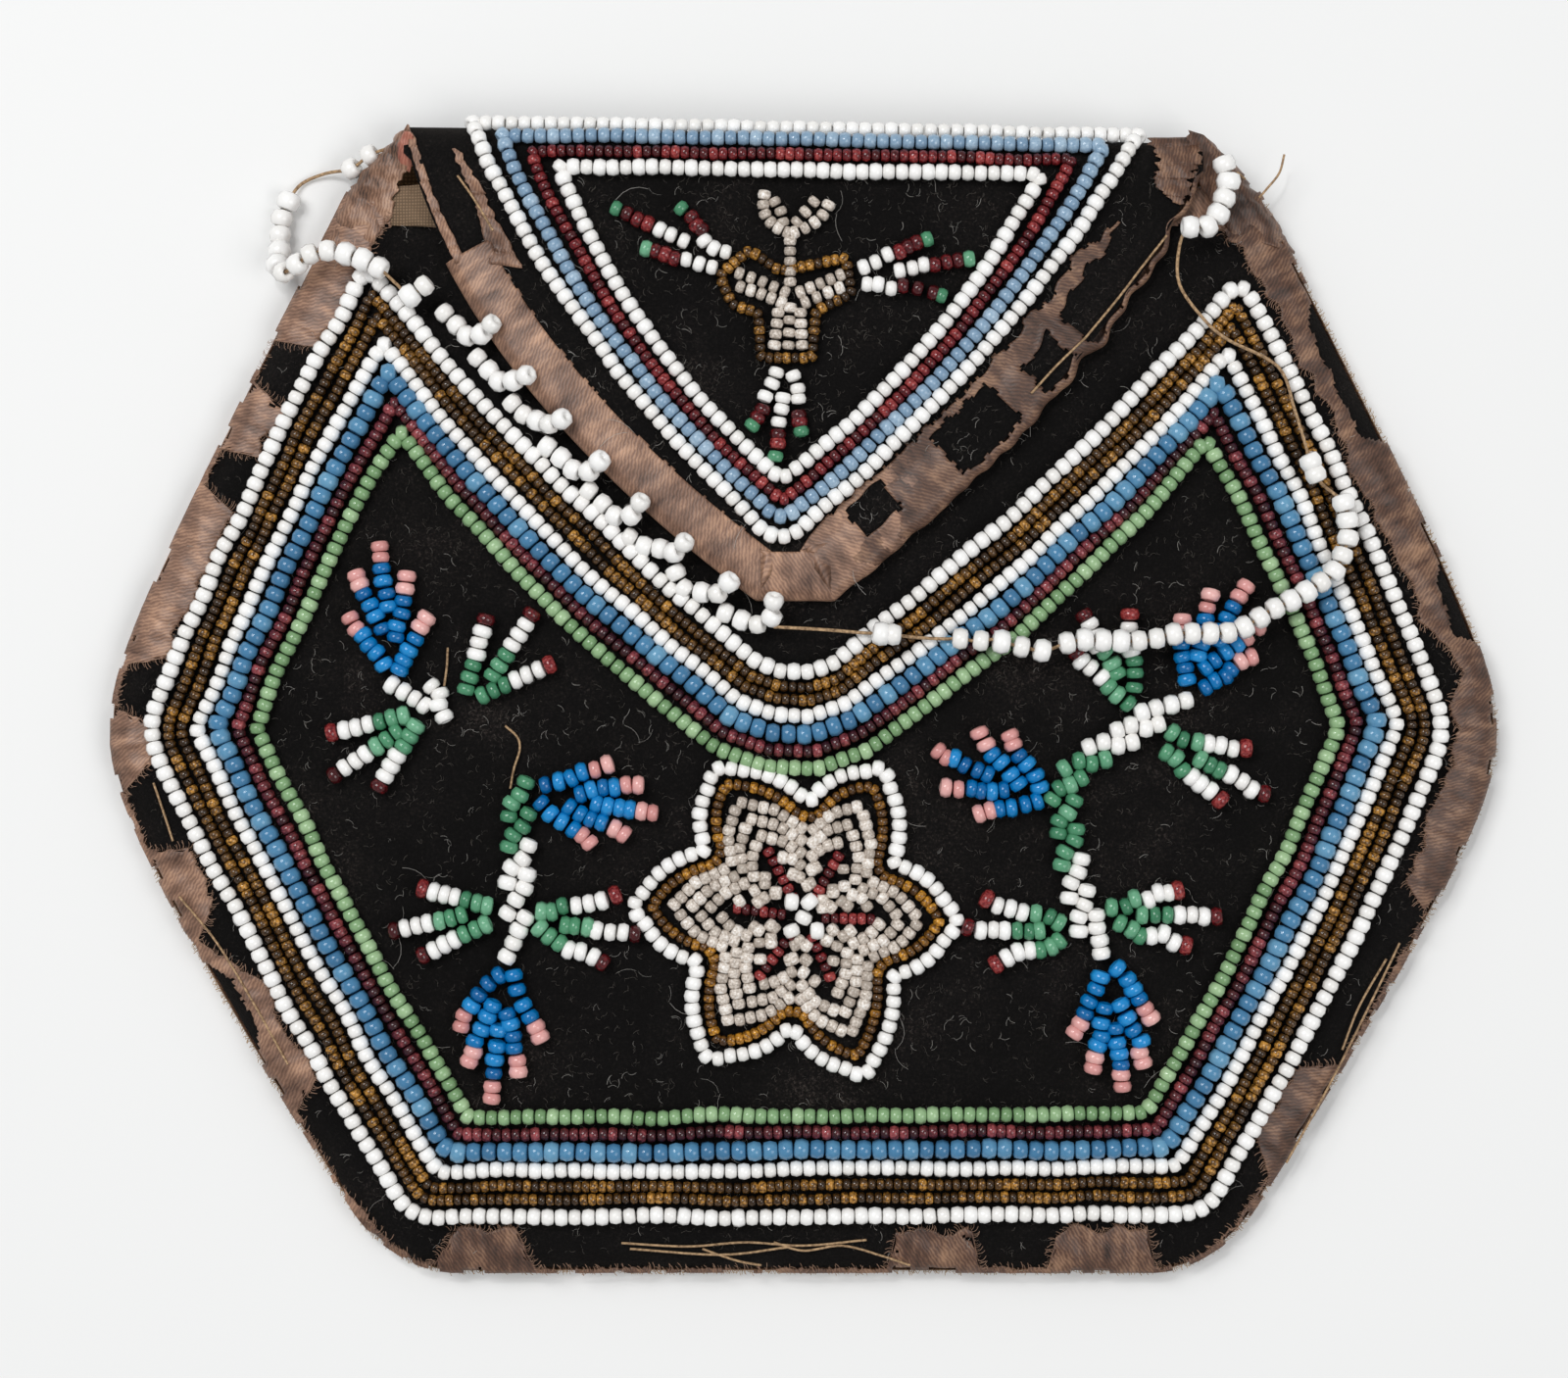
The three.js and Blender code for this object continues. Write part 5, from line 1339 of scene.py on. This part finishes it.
# Rows round the flap: white, translucent pale blue, dark red and white. Their top sides lie on
# the half round of the fold.
FLAP_CORNERS = (
    corner(-39.4, 67.9, 0.8, 2.8), corner(-2.9, 16.5, 6, 2.6), corner(39.5, 66.5, 0.8, 0),
)
FLAP_ROWS_OF_BEADS = (
    ("flap_row_white_outer", 0.0, 2.0, 1.55, glass_white, "glass_white"),
    ("flap_row_pale_blue", 1.95, 1.95, 1.5, glass_pale_blue, "glass_pale_blue"),
    ("flap_row_red", 3.75, 1.6, 1.12, glass_red, "glass_garnet"),
    ("flap_row_white_inner", 5.5, 2.0, 1.55, glass_white, "glass_white"),
)
couch_rows(FLAP_ROWS_OF_BEADS, FLAP_CORNERS, on_flap, 0.12 * MM, 20, 5.0)

# Sprays and stems: short strings of larger beads, each sewn down at its two ends. The blue
# sprays have rose tips; the green ones are tipped with a small red bead and three white.
SPRAY_BEAD = 2.35 * MM


def spray(name, strings, glass, slot, lay=on_front, diameter=SPRAY_BEAD, **tips):
    """Short strings from tip to root, with a bead at each place, in mm."""
    lines = [[lay(x * MM, y * MM, diameter / 2 + SEATED) for x, y in string] for string in strings]
    steps = [(b - a).length for line in lines for a, b in zip(line, line[1:])]
    return string_beads(f"{name}_beads", lines, diameter, sum(steps) / len(steps), glass, [name], slot,
                        respace=False, seed=len(name) + len(strings), **tips)


BLUE_SPRAYS = {
    "spray_blue_left_top": (
        ((-53.3, 9.4), (-52.6, 8.1), (-51.8, 7.4), (-51.1, 6.2), (-50.2, 5.3), (-49.3, 3.9)),
        ((-52.6, 14.4), (-52.2, 13.3), (-51.7, 12.2), (-50.9, 10.9), (-50.3, 9.6), (-49.5, 8.1)),
        ((-49.8, 17.8), (-49.7, 16.5), (-49.6, 15.2), (-49.4, 13.7), (-49.0, 12.2), (-48.8, 10.7)),
        ((-46.6, 14.3), (-46.8, 12.8), (-47.0, 11.4), (-47.2, 9.9), (-47.8, 8.4), (-47.9, 7.1)),
        ((-44.3, 9.4), (-45.0, 8.3), (-45.6, 6.9), (-46.4, 5.6), (-47.0, 4.4), (-47.5, 3.3)),
    ),
    "spray_blue_left_inner": (
        ((-23.0, -7.8), (-24.5, -8.4), (-26.0, -8.7), (-27.3, -9.4), (-28.7, -9.8), (-30.3, -10.2)),
        ((-19.4, -10.2), (-20.8, -10.2), (-22.2, -10.5), (-23.5, -10.5), (-24.9, -10.8), (-26.2, -11.3)),
        ((-17.7, -13.5), (-19.0, -13.3), (-20.4, -13.1), (-21.6, -12.9), (-23.0, -12.7), (-24.3, -12.4)),
        ((-21.1, -16.0), (-22.2, -15.3), (-23.7, -14.6), (-25.0, -14.2), (-26.2, -13.6), (-27.5, -12.8)),
        ((-25.1, -17.0), (-26.0, -16.1), (-27.0, -15.4), (-28.4, -14.5), (-29.7, -13.6), (-30.8, -12.3)),
    ),
    "spray_blue_left_bottom": (
        ((-40.3, -38.7), (-40.0, -37.4), (-39.1, -36.2), (-38.2, -34.9), (-37.1, -33.6), (-35.8, -32.6)),
        ((-39.4, -42.8), (-38.9, -41.7), (-38.7, -40.4), (-37.9, -39.0), (-37.2, -37.5), (-36.6, -36.2)),
        ((-36.8, -47.2), (-36.7, -45.8), (-36.5, -44.2), (-36.4, -42.6), (-36.1, -41.0), (-35.9, -39.1)),
        ((-33.6, -44.0), (-33.7, -42.7), (-34.1, -41.2), (-34.2, -39.8), (-34.5, -38.4), (-34.9, -37.2)),
        ((-31.0, -39.9), (-31.5, -38.7), (-32.2, -37.5), (-33.0, -36.1), (-33.7, -34.3), (-34.1, -32.6)),
    ),
    "spray_blue_right_top": (
        ((44.5, 9.2), (44.4, 7.8), (44.3, 6.3), (44.5, 4.8), (44.8, 3.5), (45.0, 2.1)),
        ((47.8, 12.1), (47.4, 10.6), (47.2, 9.2), (47.1, 7.7), (46.7, 6.3), (46.3, 4.9)),
        ((52.0, 13.1), (51.2, 11.9), (50.5, 10.6), (49.8, 9.3), (49.3, 7.9), (48.7, 6.6)),
        ((53.4, 8.3), (52.0, 7.1), (50.9, 6.3), (49.6, 5.4), (48.3, 4.4), (47.2, 3.5)),
        ((52.7, 4.8), (51.4, 4.3), (50.2, 3.3), (49.6, 2.5), (48.3, 2.0), (47.2, 1.2)),
    ),
    "spray_blue_right_inner": (
        ((15.8, -6.2), (16.7, -7.0), (17.7, -7.1), (18.9, -7.9), (20.4, -8.5), (21.6, -9.0)),
        ((20.6, -4.1), (21.4, -5.5), (22.1, -6.7), (23.2, -7.6), (24.3, -9.0), (25.2, -10.1)),
        ((24.2, -4.4), (24.6, -5.5), (25.3, -6.8), (26.2, -7.8), (27.2, -9.1), (27.7, -10.5)),
        ((16.7, -10.5), (18.2, -10.7), (19.7, -10.6), (20.8, -10.9), (22.1, -11.0), (23.5, -10.8)),
        ((20.6, -13.6), (21.9, -13.2), (23.0, -13.0), (24.4, -12.9), (26.0, -12.5), (27.4, -12.1)),
    ),
    "spray_blue_right_bottom": (
        ((31.9, -39.4), (32.6, -38.3), (33.1, -37.1), (33.6, -35.7), (34.4, -34.2), (34.9, -32.8)),
        ((34.1, -43.6), (34.3, -42.3), (34.6, -40.9), (35.1, -39.8), (35.0, -38.3), (35.4, -36.5)),
        ((37.6, -45.8), (37.4, -44.4), (37.4, -43.2), (37.2, -41.9), (36.9, -40.6), (36.7, -38.9)),
        ((40.0, -43.0), (39.6, -41.8), (39.8, -40.4), (38.8, -39.1), (38.1, -37.7), (37.3, -36.1)),
        ((40.9, -37.7), (40.2, -36.6), (39.5, -35.4), (38.8, -34.3), (38.1, -33.1), (36.9, -31.8)),
    ),
}
for name, strings in BLUE_SPRAYS.items():
    spray(name, strings, glass_spray_blue, "glass_spray_blue", tip=glass_pink, tip_beads=2)

GREEN_SPRAYS = {
    "spray_green_left_top": (
        ((-37.3, 9.2), (-37.7, 7.8), (-38.1, 6.5), (-38.4, 5.1), (-38.8, 3.8), (-39.2, 2.4), (-39.6, 1.0)),
        ((-31.9, 9.8), (-32.6, 8.6), (-33.4, 7.4), (-34.2, 6.2), (-34.9, 5.0), (-35.7, 3.8), (-36.5, 2.6)),
        ((-29.8, 3.9), (-31.1, 3.3), (-32.5, 2.7), (-33.8, 2.1), (-35.1, 1.5), (-36.4, 0.9), (-37.7, 0.3)),
    ),
    "spray_green_left_outer": (
        ((-55.5, -4.1), (-54.0, -3.8), (-52.6, -3.5), (-51.2, -3.1), (-49.8, -2.8), (-48.4, -2.4), (-47.0, -2.1)),
        ((-55.2, -9.1), (-54.0, -8.2), (-52.7, -7.4), (-51.5, -6.6), (-50.2, -5.7), (-49.0, -4.9), (-47.8, -4.0)),
        ((-49.9, -10.4), (-49.2, -9.2), (-48.5, -8.0), (-47.8, -6.8), (-47.0, -5.7), (-46.3, -4.5), (-45.6, -3.3)),
    ),
    "spray_green_left_lower": (
        ((-44.8, -22.4), (-43.5, -22.8), (-42.2, -23.1), (-41.0, -23.4), (-39.7, -23.7), (-38.4, -24.1), (-37.2, -24.4)),
        ((-48.2, -27.4), (-46.9, -27.1), (-45.5, -26.8), (-44.2, -26.5), (-42.8, -26.2), (-41.5, -25.9), (-40.2, -25.5)),
        ((-44.8, -30.3), (-43.5, -29.7), (-42.3, -29.0), (-41.1, -28.4), (-39.9, -27.8), (-38.6, -27.2), (-37.4, -26.6)),
    ),
    "spray_green_left_inner": (
        ((-22.1, -23.1), (-23.7, -23.8), (-25.2, -24.1), (-26.7, -24.4), (-28.3, -24.4), (-29.6, -25.1), (-30.8, -25.1)),
        ((-19.8, -27.7), (-21.2, -27.5), (-22.7, -27.5), (-24.3, -27.3), (-25.4, -26.9), (-26.9, -26.8), (-28.0, -26.7)),
        ((-23.6, -31.1), (-24.7, -30.4), (-26.2, -29.8), (-27.6, -29.6), (-28.7, -28.8), (-29.9, -28.0), (-31.0, -27.0)),
    ),
    "spray_green_right_top": (
        ((32.9, 9.7), (33.6, 8.6), (34.4, 7.4), (34.5, 6.0), (35.4, 5.4), (36.2, 4.0), (36.8, 2.8)),
        ((38.3, 9.8), (38.2, 8.3), (38.2, 6.8), (38.4, 5.5), (38.8, 4.3), (38.9, 2.9), (38.8, 1.2)),
        ((32.0, 5.3), (32.6, 4.3), (33.7, 3.5), (35.0, 2.4), (35.8, 1.3), (36.8, 0.3), (38.1, -0.7)),
    ),
    "spray_green_right_outer": (
        ((52.0, -5.9), (50.5, -6.0), (49.0, -5.6), (47.6, -5.4), (46.3, -5.2), (44.6, -4.9), (43.3, -4.1)),
        ((54.2, -11.3), (52.7, -10.8), (51.6, -9.8), (50.2, -9.0), (48.9, -8.5), (47.8, -7.9), (46.6, -7.2)),
        ((49.0, -12.0), (47.8, -10.9), (46.6, -10.1), (45.6, -9.3), (44.5, -8.5), (43.7, -7.1), (42.6, -6.4)),
    ),
    "spray_green_right_lower": (
        ((44.0, -22.6), (42.9, -22.9), (41.7, -22.9), (40.5, -23.7), (38.9, -23.6), (37.9, -24.5), (36.2, -24.6)),
        ((48.6, -25.7), (47.1, -25.7), (45.7, -25.5), (44.2, -25.5), (42.8, -25.5), (41.3, -25.5), (39.8, -25.5)),
        ((45.0, -29.1), (43.6, -28.8), (42.3, -27.7), (40.9, -28.0), (39.6, -28.0), (38.6, -27.2), (37.2, -26.5)),
    ),
    "spray_green_right_inner": (
        ((21.5, -23.6), (22.8, -24.4), (24.3, -24.7), (25.7, -25.2), (27.3, -25.3), (28.9, -25.7), (30.0, -26.4)),
        ((19.3, -26.9), (20.8, -27.3), (22.3, -27.2), (23.6, -27.3), (25.1, -27.3), (26.5, -27.4), (27.7, -27.3)),
        ((22.6, -31.3), (23.9, -30.5), (25.2, -29.8), (26.6, -29.6), (27.8, -29.6), (29.1, -29.2), (30.0, -28.5)),
    ),
}
for name, strings in GREEN_SPRAYS.items():
    spray(name, strings, glass_spray_green, "glass_spray_green",
          tip=glass_red, tip_beads=1, second=glass_white, second_beads=3)

STEMS = {
    "stem_white_left_top": (
        ((-48.4, 1.5), (-47.0, 0.7), (-45.7, -0.1), (-44.5, -0.9)),
        ((-43.7, 1.4), (-42.7, 0.5), (-42.9, -0.8), (-42.2, -2.2)),
    ),
    "stem_white_left": (
        ((-32.3, -17.3), (-33.0, -18.9), (-34.3, -19.9), (-34.8, -21.7)),
        ((-32.5, -20.7), (-32.8, -22.3), (-33.8, -23.7), (-34.8, -25.3)),
        ((-32.7, -25.8), (-33.5, -27.3), (-34.1, -28.8), (-34.9, -30.4)),
    ),
    "stem_green_left": (
        ((-32.6, -9.9), (-33.3, -11.4), (-34.3, -12.4), (-34.6, -13.9)),
        ((-32.3, -13.6), (-33.0, -15.1), (-34.1, -16.1), (-34.6, -17.5)),
    ),
    "stem_white_right_top": (
        ((44.9, -0.3), (43.2, -0.8), (41.4, -1.2), (39.7, -1.7)),
        ((41.7, -3.1), (40.2, -3.6), (38.4, -3.2), (36.8, -3.8)),
        ((38.6, -5.2), (36.9, -5.6), (35.2, -5.2), (33.5, -5.8)),
    ),
    "stem_green_right": (
        ((35.4, -7.2), (33.8, -7.7), (32.3, -7.4), (30.6, -8.3)),
        ((32.6, -9.4), (31.3, -10.2), (30.0, -10.6), (29.2, -11.9)),
        ((31.8, -12.0), (31.0, -13.5), (30.0, -14.5), (29.9, -15.9)),
        ((32.0, -15.4), (31.8, -16.7), (30.7, -18.1), (30.3, -19.6)),
    ),
    "stem_white_right": (
        ((32.6, -18.9), (32.2, -20.4), (31.4, -21.7), (31.2, -23.5)),
        ((33.3, -22.6), (33.0, -24.3), (32.3, -25.7), (32.3, -27.4)),
        ((34.4, -25.5), (34.5, -27.0), (34.8, -28.5), (35.0, -30.0)),
    ),
}
for name, strings in STEMS.items():
    colour, slot = (glass_spray_green, "glass_spray_green") if "green" in name else (glass_white, "glass_white")
    spray(name, strings, colour, slot)

# Star flower: six petals outlined in white and amber and filled with rows of clear beads, with
# red rays round five white beads in the middle.
STAR_ROUND, STAR_NOTCH, STAR_BOW = 3.2, 0.4, 0.9
STAR_OUTLINE = (
    (0.6, -12.1), (-10.9, -7.2), (-11.6, -17.8), (-21.2, -24.5), (-12.4, -31.1), (-12, -43.4),
    (-1.4, -38.7), (7.6, -45.6), (10.6, -32.7), (19.3, -26.2), (10.6, -19.4), (9.9, -7.2),
)
STAR_CORNERS = tuple(
    corner(x, y, STAR_ROUND if k % 2 else STAR_NOTCH, STAR_BOW) for k, (x, y) in enumerate(STAR_OUTLINE)
)
STAR_ROWS = (
    ("star_white_outline", 0.0, 1.95, 1.5, glass_white, "glass_white"),
    ("star_amber_outline", 1.95, 1.4, 0.98, glass_gold, "glass_amber"),
)
couch_rows(STAR_ROWS, STAR_CORNERS, on_front, 0.05 * MM, 40, 0.0, 1.0)

STAR_CENTRE = Vector((0, -25.8)) * MM
CLEAR_BEAD = 1.62 * MM
CLEAR_PITCH = 1.14 * MM
CLEAR_INSETS = (3.25, 4.6, 5.95, 7.3, 8.65)
CLEAR_BOWS = (0.7, 0.55, 0.4, 0.3, 0.2)
RAY_REACH = 8.9 * MM


def meets(point, along, aside, gap):
    """Where a line comes to that distance from another line through the star's centre."""
    return point + along * (gap - point.dot(aside)) / along.dot(aside)


def petal_strings(insets, bows):
    """Strings side by side in both halves of every petal, from its middle to the border with the next."""
    lines = []
    for k in range(1, len(STAR_OUTLINE), 2):
        tip = Vector(STAR_OUTLINE[k]) * MM - STAR_CENTRE
        for notch_number in (k - 1, (k + 1) % len(STAR_OUTLINE)):
            notch = Vector(STAR_OUTLINE[notch_number]) * MM - STAR_CENTRE
            edge = (notch - tip).normalized()
            aside = Vector((-tip.y, tip.x)).normalized()
            aside *= math.copysign(1, aside.dot(notch))
            border = Vector((-notch.y, notch.x)).normalized()
            border *= math.copysign(1, border.dot(tip))
            inward = Vector((-edge.y, edge.x))
            inward *= -math.copysign(1, inward.dot(tip))
            for inset, bow in zip(insets, bows):
                point = tip + inward * inset * MM
                start = meets(point, edge, aside, CLEAR_BEAD * 0.36)
                if start.length < RAY_REACH:
                    start = meets(point, edge, aside, CLEAR_BEAD * 0.9)
                finish = meets(point, edge, border, CLEAR_BEAD * 0.42)
                middle = (start + finish) / 2 - inward * bow * MM
                lines.append([
                    on_front(q.x, q.y, CLEAR_BEAD / 2 + SEATED)
                    for q in (STAR_CENTRE + start, STAR_CENTRE + middle, STAR_CENTRE + finish)
                ])
    return lines


string_beads("star_clear_outer_beads", petal_strings(CLEAR_INSETS[:1], CLEAR_BOWS[:1]), CLEAR_BEAD, CLEAR_PITCH,
             glass_clear, ["star_clear_row_outer"], "glass_clear", seed=43, fill=1.12)
string_beads("star_clear_inner_beads", petal_strings(CLEAR_INSETS[1:], CLEAR_BOWS[1:]), CLEAR_BEAD, CLEAR_PITCH,
             glass_clear, ["star_clear_row_inner"], "glass_clear", seed=44, fill=1.12)

CENTRE_BEADS = ((-1.4, -23.9), (0.7, -23.9), (0, -25.8), (-1.4, -27.3), (1.6, -27.3))
string_beads(
    "star_centre_white_beads", [[
        on_front(x * MM, y * MM, SPRAY_BEAD / 2 + SEATED) for x, y in CENTRE_BEADS
    ]], 2.2 * MM, 1.7 * MM, glass_white, ["star_centre_beads"], "glass_white", respace=False, seed=51,
)
RAY_TIPS = ((-4.1, -18.1), (4.1, -18.6), (7.9, -26), (3.1, -32.8), (-5.1, -32.7), (-7.8, -24.7))
RAY_BEAD = 1.45 * MM
for number, (x, y) in enumerate(RAY_TIPS, 1):
    tip = Vector((x, y)) * MM
    root = STAR_CENTRE + (tip - STAR_CENTRE).normalized() * 2.6 * MM
    line = [on_front(p.x, p.y, RAY_BEAD / 2 + SEATED) for p in (tip, tip.lerp(root, 0.5), root)]
    string_beads(f"star_red_ray_{number}_beads", [line], RAY_BEAD, 1.05 * MM, glass_red,
                 [f"star_red_ray_{number}"], "glass_garnet", seed=60 + number)

# Flower on the flap: clear petals in an amber outline, a clear sprig above, and three sprays
# of a green bead, small red ones and white ones.
FLOWER_CORNERS = tuple(corner(x, y, 0.6, 0) for x, y in (
    (-2.8, 49.9), (-6.4, 52.4), (-9.8, 49.4), (-8.3, 45.9), (-5.3, 45),
    (-5, 39.7), (1, 39.7), (1.4, 45.2), (5.6, 47.3), (4.9, 51.4),
))
couch_rows([("flap_flower_outline", 0.0, 1.4, 1.0, glass_amber, "glass_amber")],
           FLOWER_CORNERS, on_flap, 0.03 * MM, 71, 0.0, 1.0)


def flap_strings(places):
    return [[on_flap(x * MM, y * MM, CLEAR_BEAD / 2 + SEATED) for x, y in line] for line in places]


PETAL_STRINGS = (
    ((-7.5, 49.6), (-4.8, 48.6), (-2.2, 47.4)), ((-7.4, 48.0), (-5, 47.2), (-2.6, 46.2)),
    ((4.3, 49.4), (1.9, 48.4), (-0.4, 47.4)), ((4.2, 47.9), (2.2, 47.1), (0.2, 46.2)),
    ((-3.4, 41.2), (-3.2, 43), (-3, 45)), ((-1.8, 41.2), (-1.7, 43), (-1.6, 45.6)),
    ((-0.2, 41.2), (-0.3, 43), (-0.4, 45)),
)
string_beads("flap_flower_petals_beads", flap_strings(PETAL_STRINGS), CLEAR_BEAD, 1.15 * MM, glass_clear,
             ["flap_flower_petals"], "glass_clear", seed=72)
SPRIG_STRINGS = (
    ((-1.6, 48.6), (-1.6, 51), (-1.6, 53.4)),
    ((-1.9, 54.4), (-3.6, 55.2), (-4.8, 57), (-4.6, 58.8)), ((-2.4, 55.6), (-2.7, 57), (-3.4, 58)),
    ((-1.1, 54.4), (0.4, 55), (2, 56), (2.9, 57.6)), ((-0.8, 55.6), (0.2, 56.8), (1.2, 58)),
)
string_beads("flap_sprig_beads", flap_strings(SPRIG_STRINGS), CLEAR_BEAD, 1.15 * MM, glass_clear,
             ["flap_sprig"], "glass_clear", seed=73)

FLAP_SPRAYS = {
    "flap_spray_left": (
        ((-21.9, 57.2), (-20.6, 56.6), (-19.4, 55.9), (-18.2, 55.4), (-16.8, 54.7), (-15.5, 54.1), (-14.0, 53.4)),
        ((-14.3, 57.2), (-13.1, 56.2), (-12.5, 55.2), (-11.9, 54.7), (-11.6, 53.4), (-10.5, 52.5), (-9.1, 52.1)),
        ((-18.4, 52.5), (-17.3, 52.2), (-16.2, 51.8), (-15.1, 51.3), (-13.7, 51.2), (-12.2, 50.7), (-10.7, 50.3)),
    ),
    "flap_spray_right": (
        ((14.4, 53.6), (13.2, 53.2), (12.2, 52.7), (11.2, 52.1), (9.8, 51.8), (8.4, 50.9), (7.0, 50.3)),
        ((19.3, 51.3), (18.0, 51.1), (16.7, 50.9), (15.3, 50.6), (14.0, 50.6), (12.7, 50.2), (11.2, 49.9)),
        ((16.1, 47.0), (15.1, 47.3), (13.3, 47.8), (11.6, 48.1), (10.2, 47.8), (8.7, 48.3), (7.4, 48.3)),
    ),
    "flap_spray_point": (
        ((-6.0, 31.8), (-5.4, 32.7), (-4.8, 33.7), (-4.5, 35.2), (-3.7, 36.7), (-3.2, 38.0)),
        ((-3.3, 28.2), (-3.0, 29.7), (-3.0, 30.8), (-2.9, 32.2), (-2.6, 33.7), (-2.4, 35.0)),
        ((-0.3, 31.1), (-0.5, 32.2), (-0.6, 33.0), (-0.6, 34.9), (-0.7, 36.1), (-1.2, 37.6)),
    ),
}
for name, strings in FLAP_SPRAYS.items():
    spray(name, strings, glass_white, "glass_spray_green", on_flap, 2.0 * MM,
          tip=glass_spray_green, tip_beads=1, second=glass_red, second_beads=len(strings[0]) - 4)

# Edging still sewn to the flap's left edge: large white beads in little scallops of five.
SCALLOPS = (
    ((-42.2, 45.3), (-40.7, 43.8), (-39.8, 42.6), (-37.5, 42.6), (-36.2, 43.6)),
    ((-38.3, 40.0), (-37.1, 38.8), (-36.1, 37.3), (-33.9, 37.1), (-32.2, 37.6)),
    ((-34.2, 34.6), (-33.0, 33.4), (-31.6, 32.7), (-29.7, 32.0), (-28.1, 32.5)),
    ((-30.1, 29.5), (-28.7, 28.5), (-27.3, 26.9), (-24.9, 26.5), (-23.7, 27.6)),
    ((-25.2, 24.3), (-23.6, 22.8), (-22.4, 21.4), (-20.0, 21.4), (-19.0, 22.8)),
    ((-20.5, 18.8), (-18.8, 17.8), (-16.8, 17.5), (-15.1, 17.0), (-13.9, 18.1)),
    ((-15.0, 14.7), (-14.2, 12.9), (-12.1, 12.4), (-10.0, 12.2), (-8.7, 13.5)),
    ((-9.2, 10.0), (-7.6, 9.3), (-6.0, 8.5), (-3.8, 9.4), (-3.5, 11.3)),
)
SCALLOP_BEAD = 2.55 * MM
SCALLOP_RISE = (0, 0, 0.3, 1.5, 2.6)
SCALLOP_STEPS = 4.002  # a hair over four, so that the fifth bead is not lost to rounding
scallop_lines = []
for scallop in SCALLOPS:
    curve = catmull([
        on_front(x * MM, y * MM, SCALLOP_BEAD / 2 + SEATED + rise * MM)
        for (x, y), rise in zip(scallop, SCALLOP_RISE)
    ], 8)
    scallop_lines.append([p for p, _ in even_steps(curve, length_of(curve) / SCALLOP_STEPS)])
string_beads("edging_left_beads", scallop_lines, SCALLOP_BEAD, 1.95 * MM, glass_white,
             ["edging_strand_left"], "glass_white", respace=False, seed=81)

# Floor and light: a pale table top under broad soft lamps, as on a studio table.
floor = mesh_object("pale_table", [(-2, -2, 0), (2, -2, 0), (2, 2, 0), (-2, 2, 0)], faces=[(0, 1, 2, 3)])
table_white = new_material("pale_table_top", {
    "Base Color": linear("#F0F0EF"), "Roughness": 0.9, "Specular IOR Level": 0.1,
})[0]
floor.data.materials.append(table_white)

LAMPS = (
    ("key_lamp", (-0.45, 0.35, 0.9), 0.5, 5.3),
    ("small_lamp", (-0.2, 0.42, 0.95), 0.07, 1.0),
    ("fill_lamp", (0.55, -0.25, 0.9), 0.6, 3.4),
)
for name, place, width, power in LAMPS:
    lamp = bpy.data.lights.new(name, "AREA")
    lamp.size = width
    lamp.energy = power
    holder = bpy.data.objects.new(name, lamp)
    holder.location = place
    holder.rotation_euler = (-Vector(place)).to_track_quat("-Z", "Y").to_euler()
    bpy.context.scene.collection.objects.link(holder)
world = bpy.data.worlds.new("soft_room")
world.use_nodes = True
world.node_tree.nodes["Background"].inputs["Color"].default_value = linear("#F4F6F8")
world.node_tree.nodes["Background"].inputs["Strength"].default_value = 0.4
bpy.context.scene.world = world
bpy.context.scene.view_settings.view_transform = "Standard"
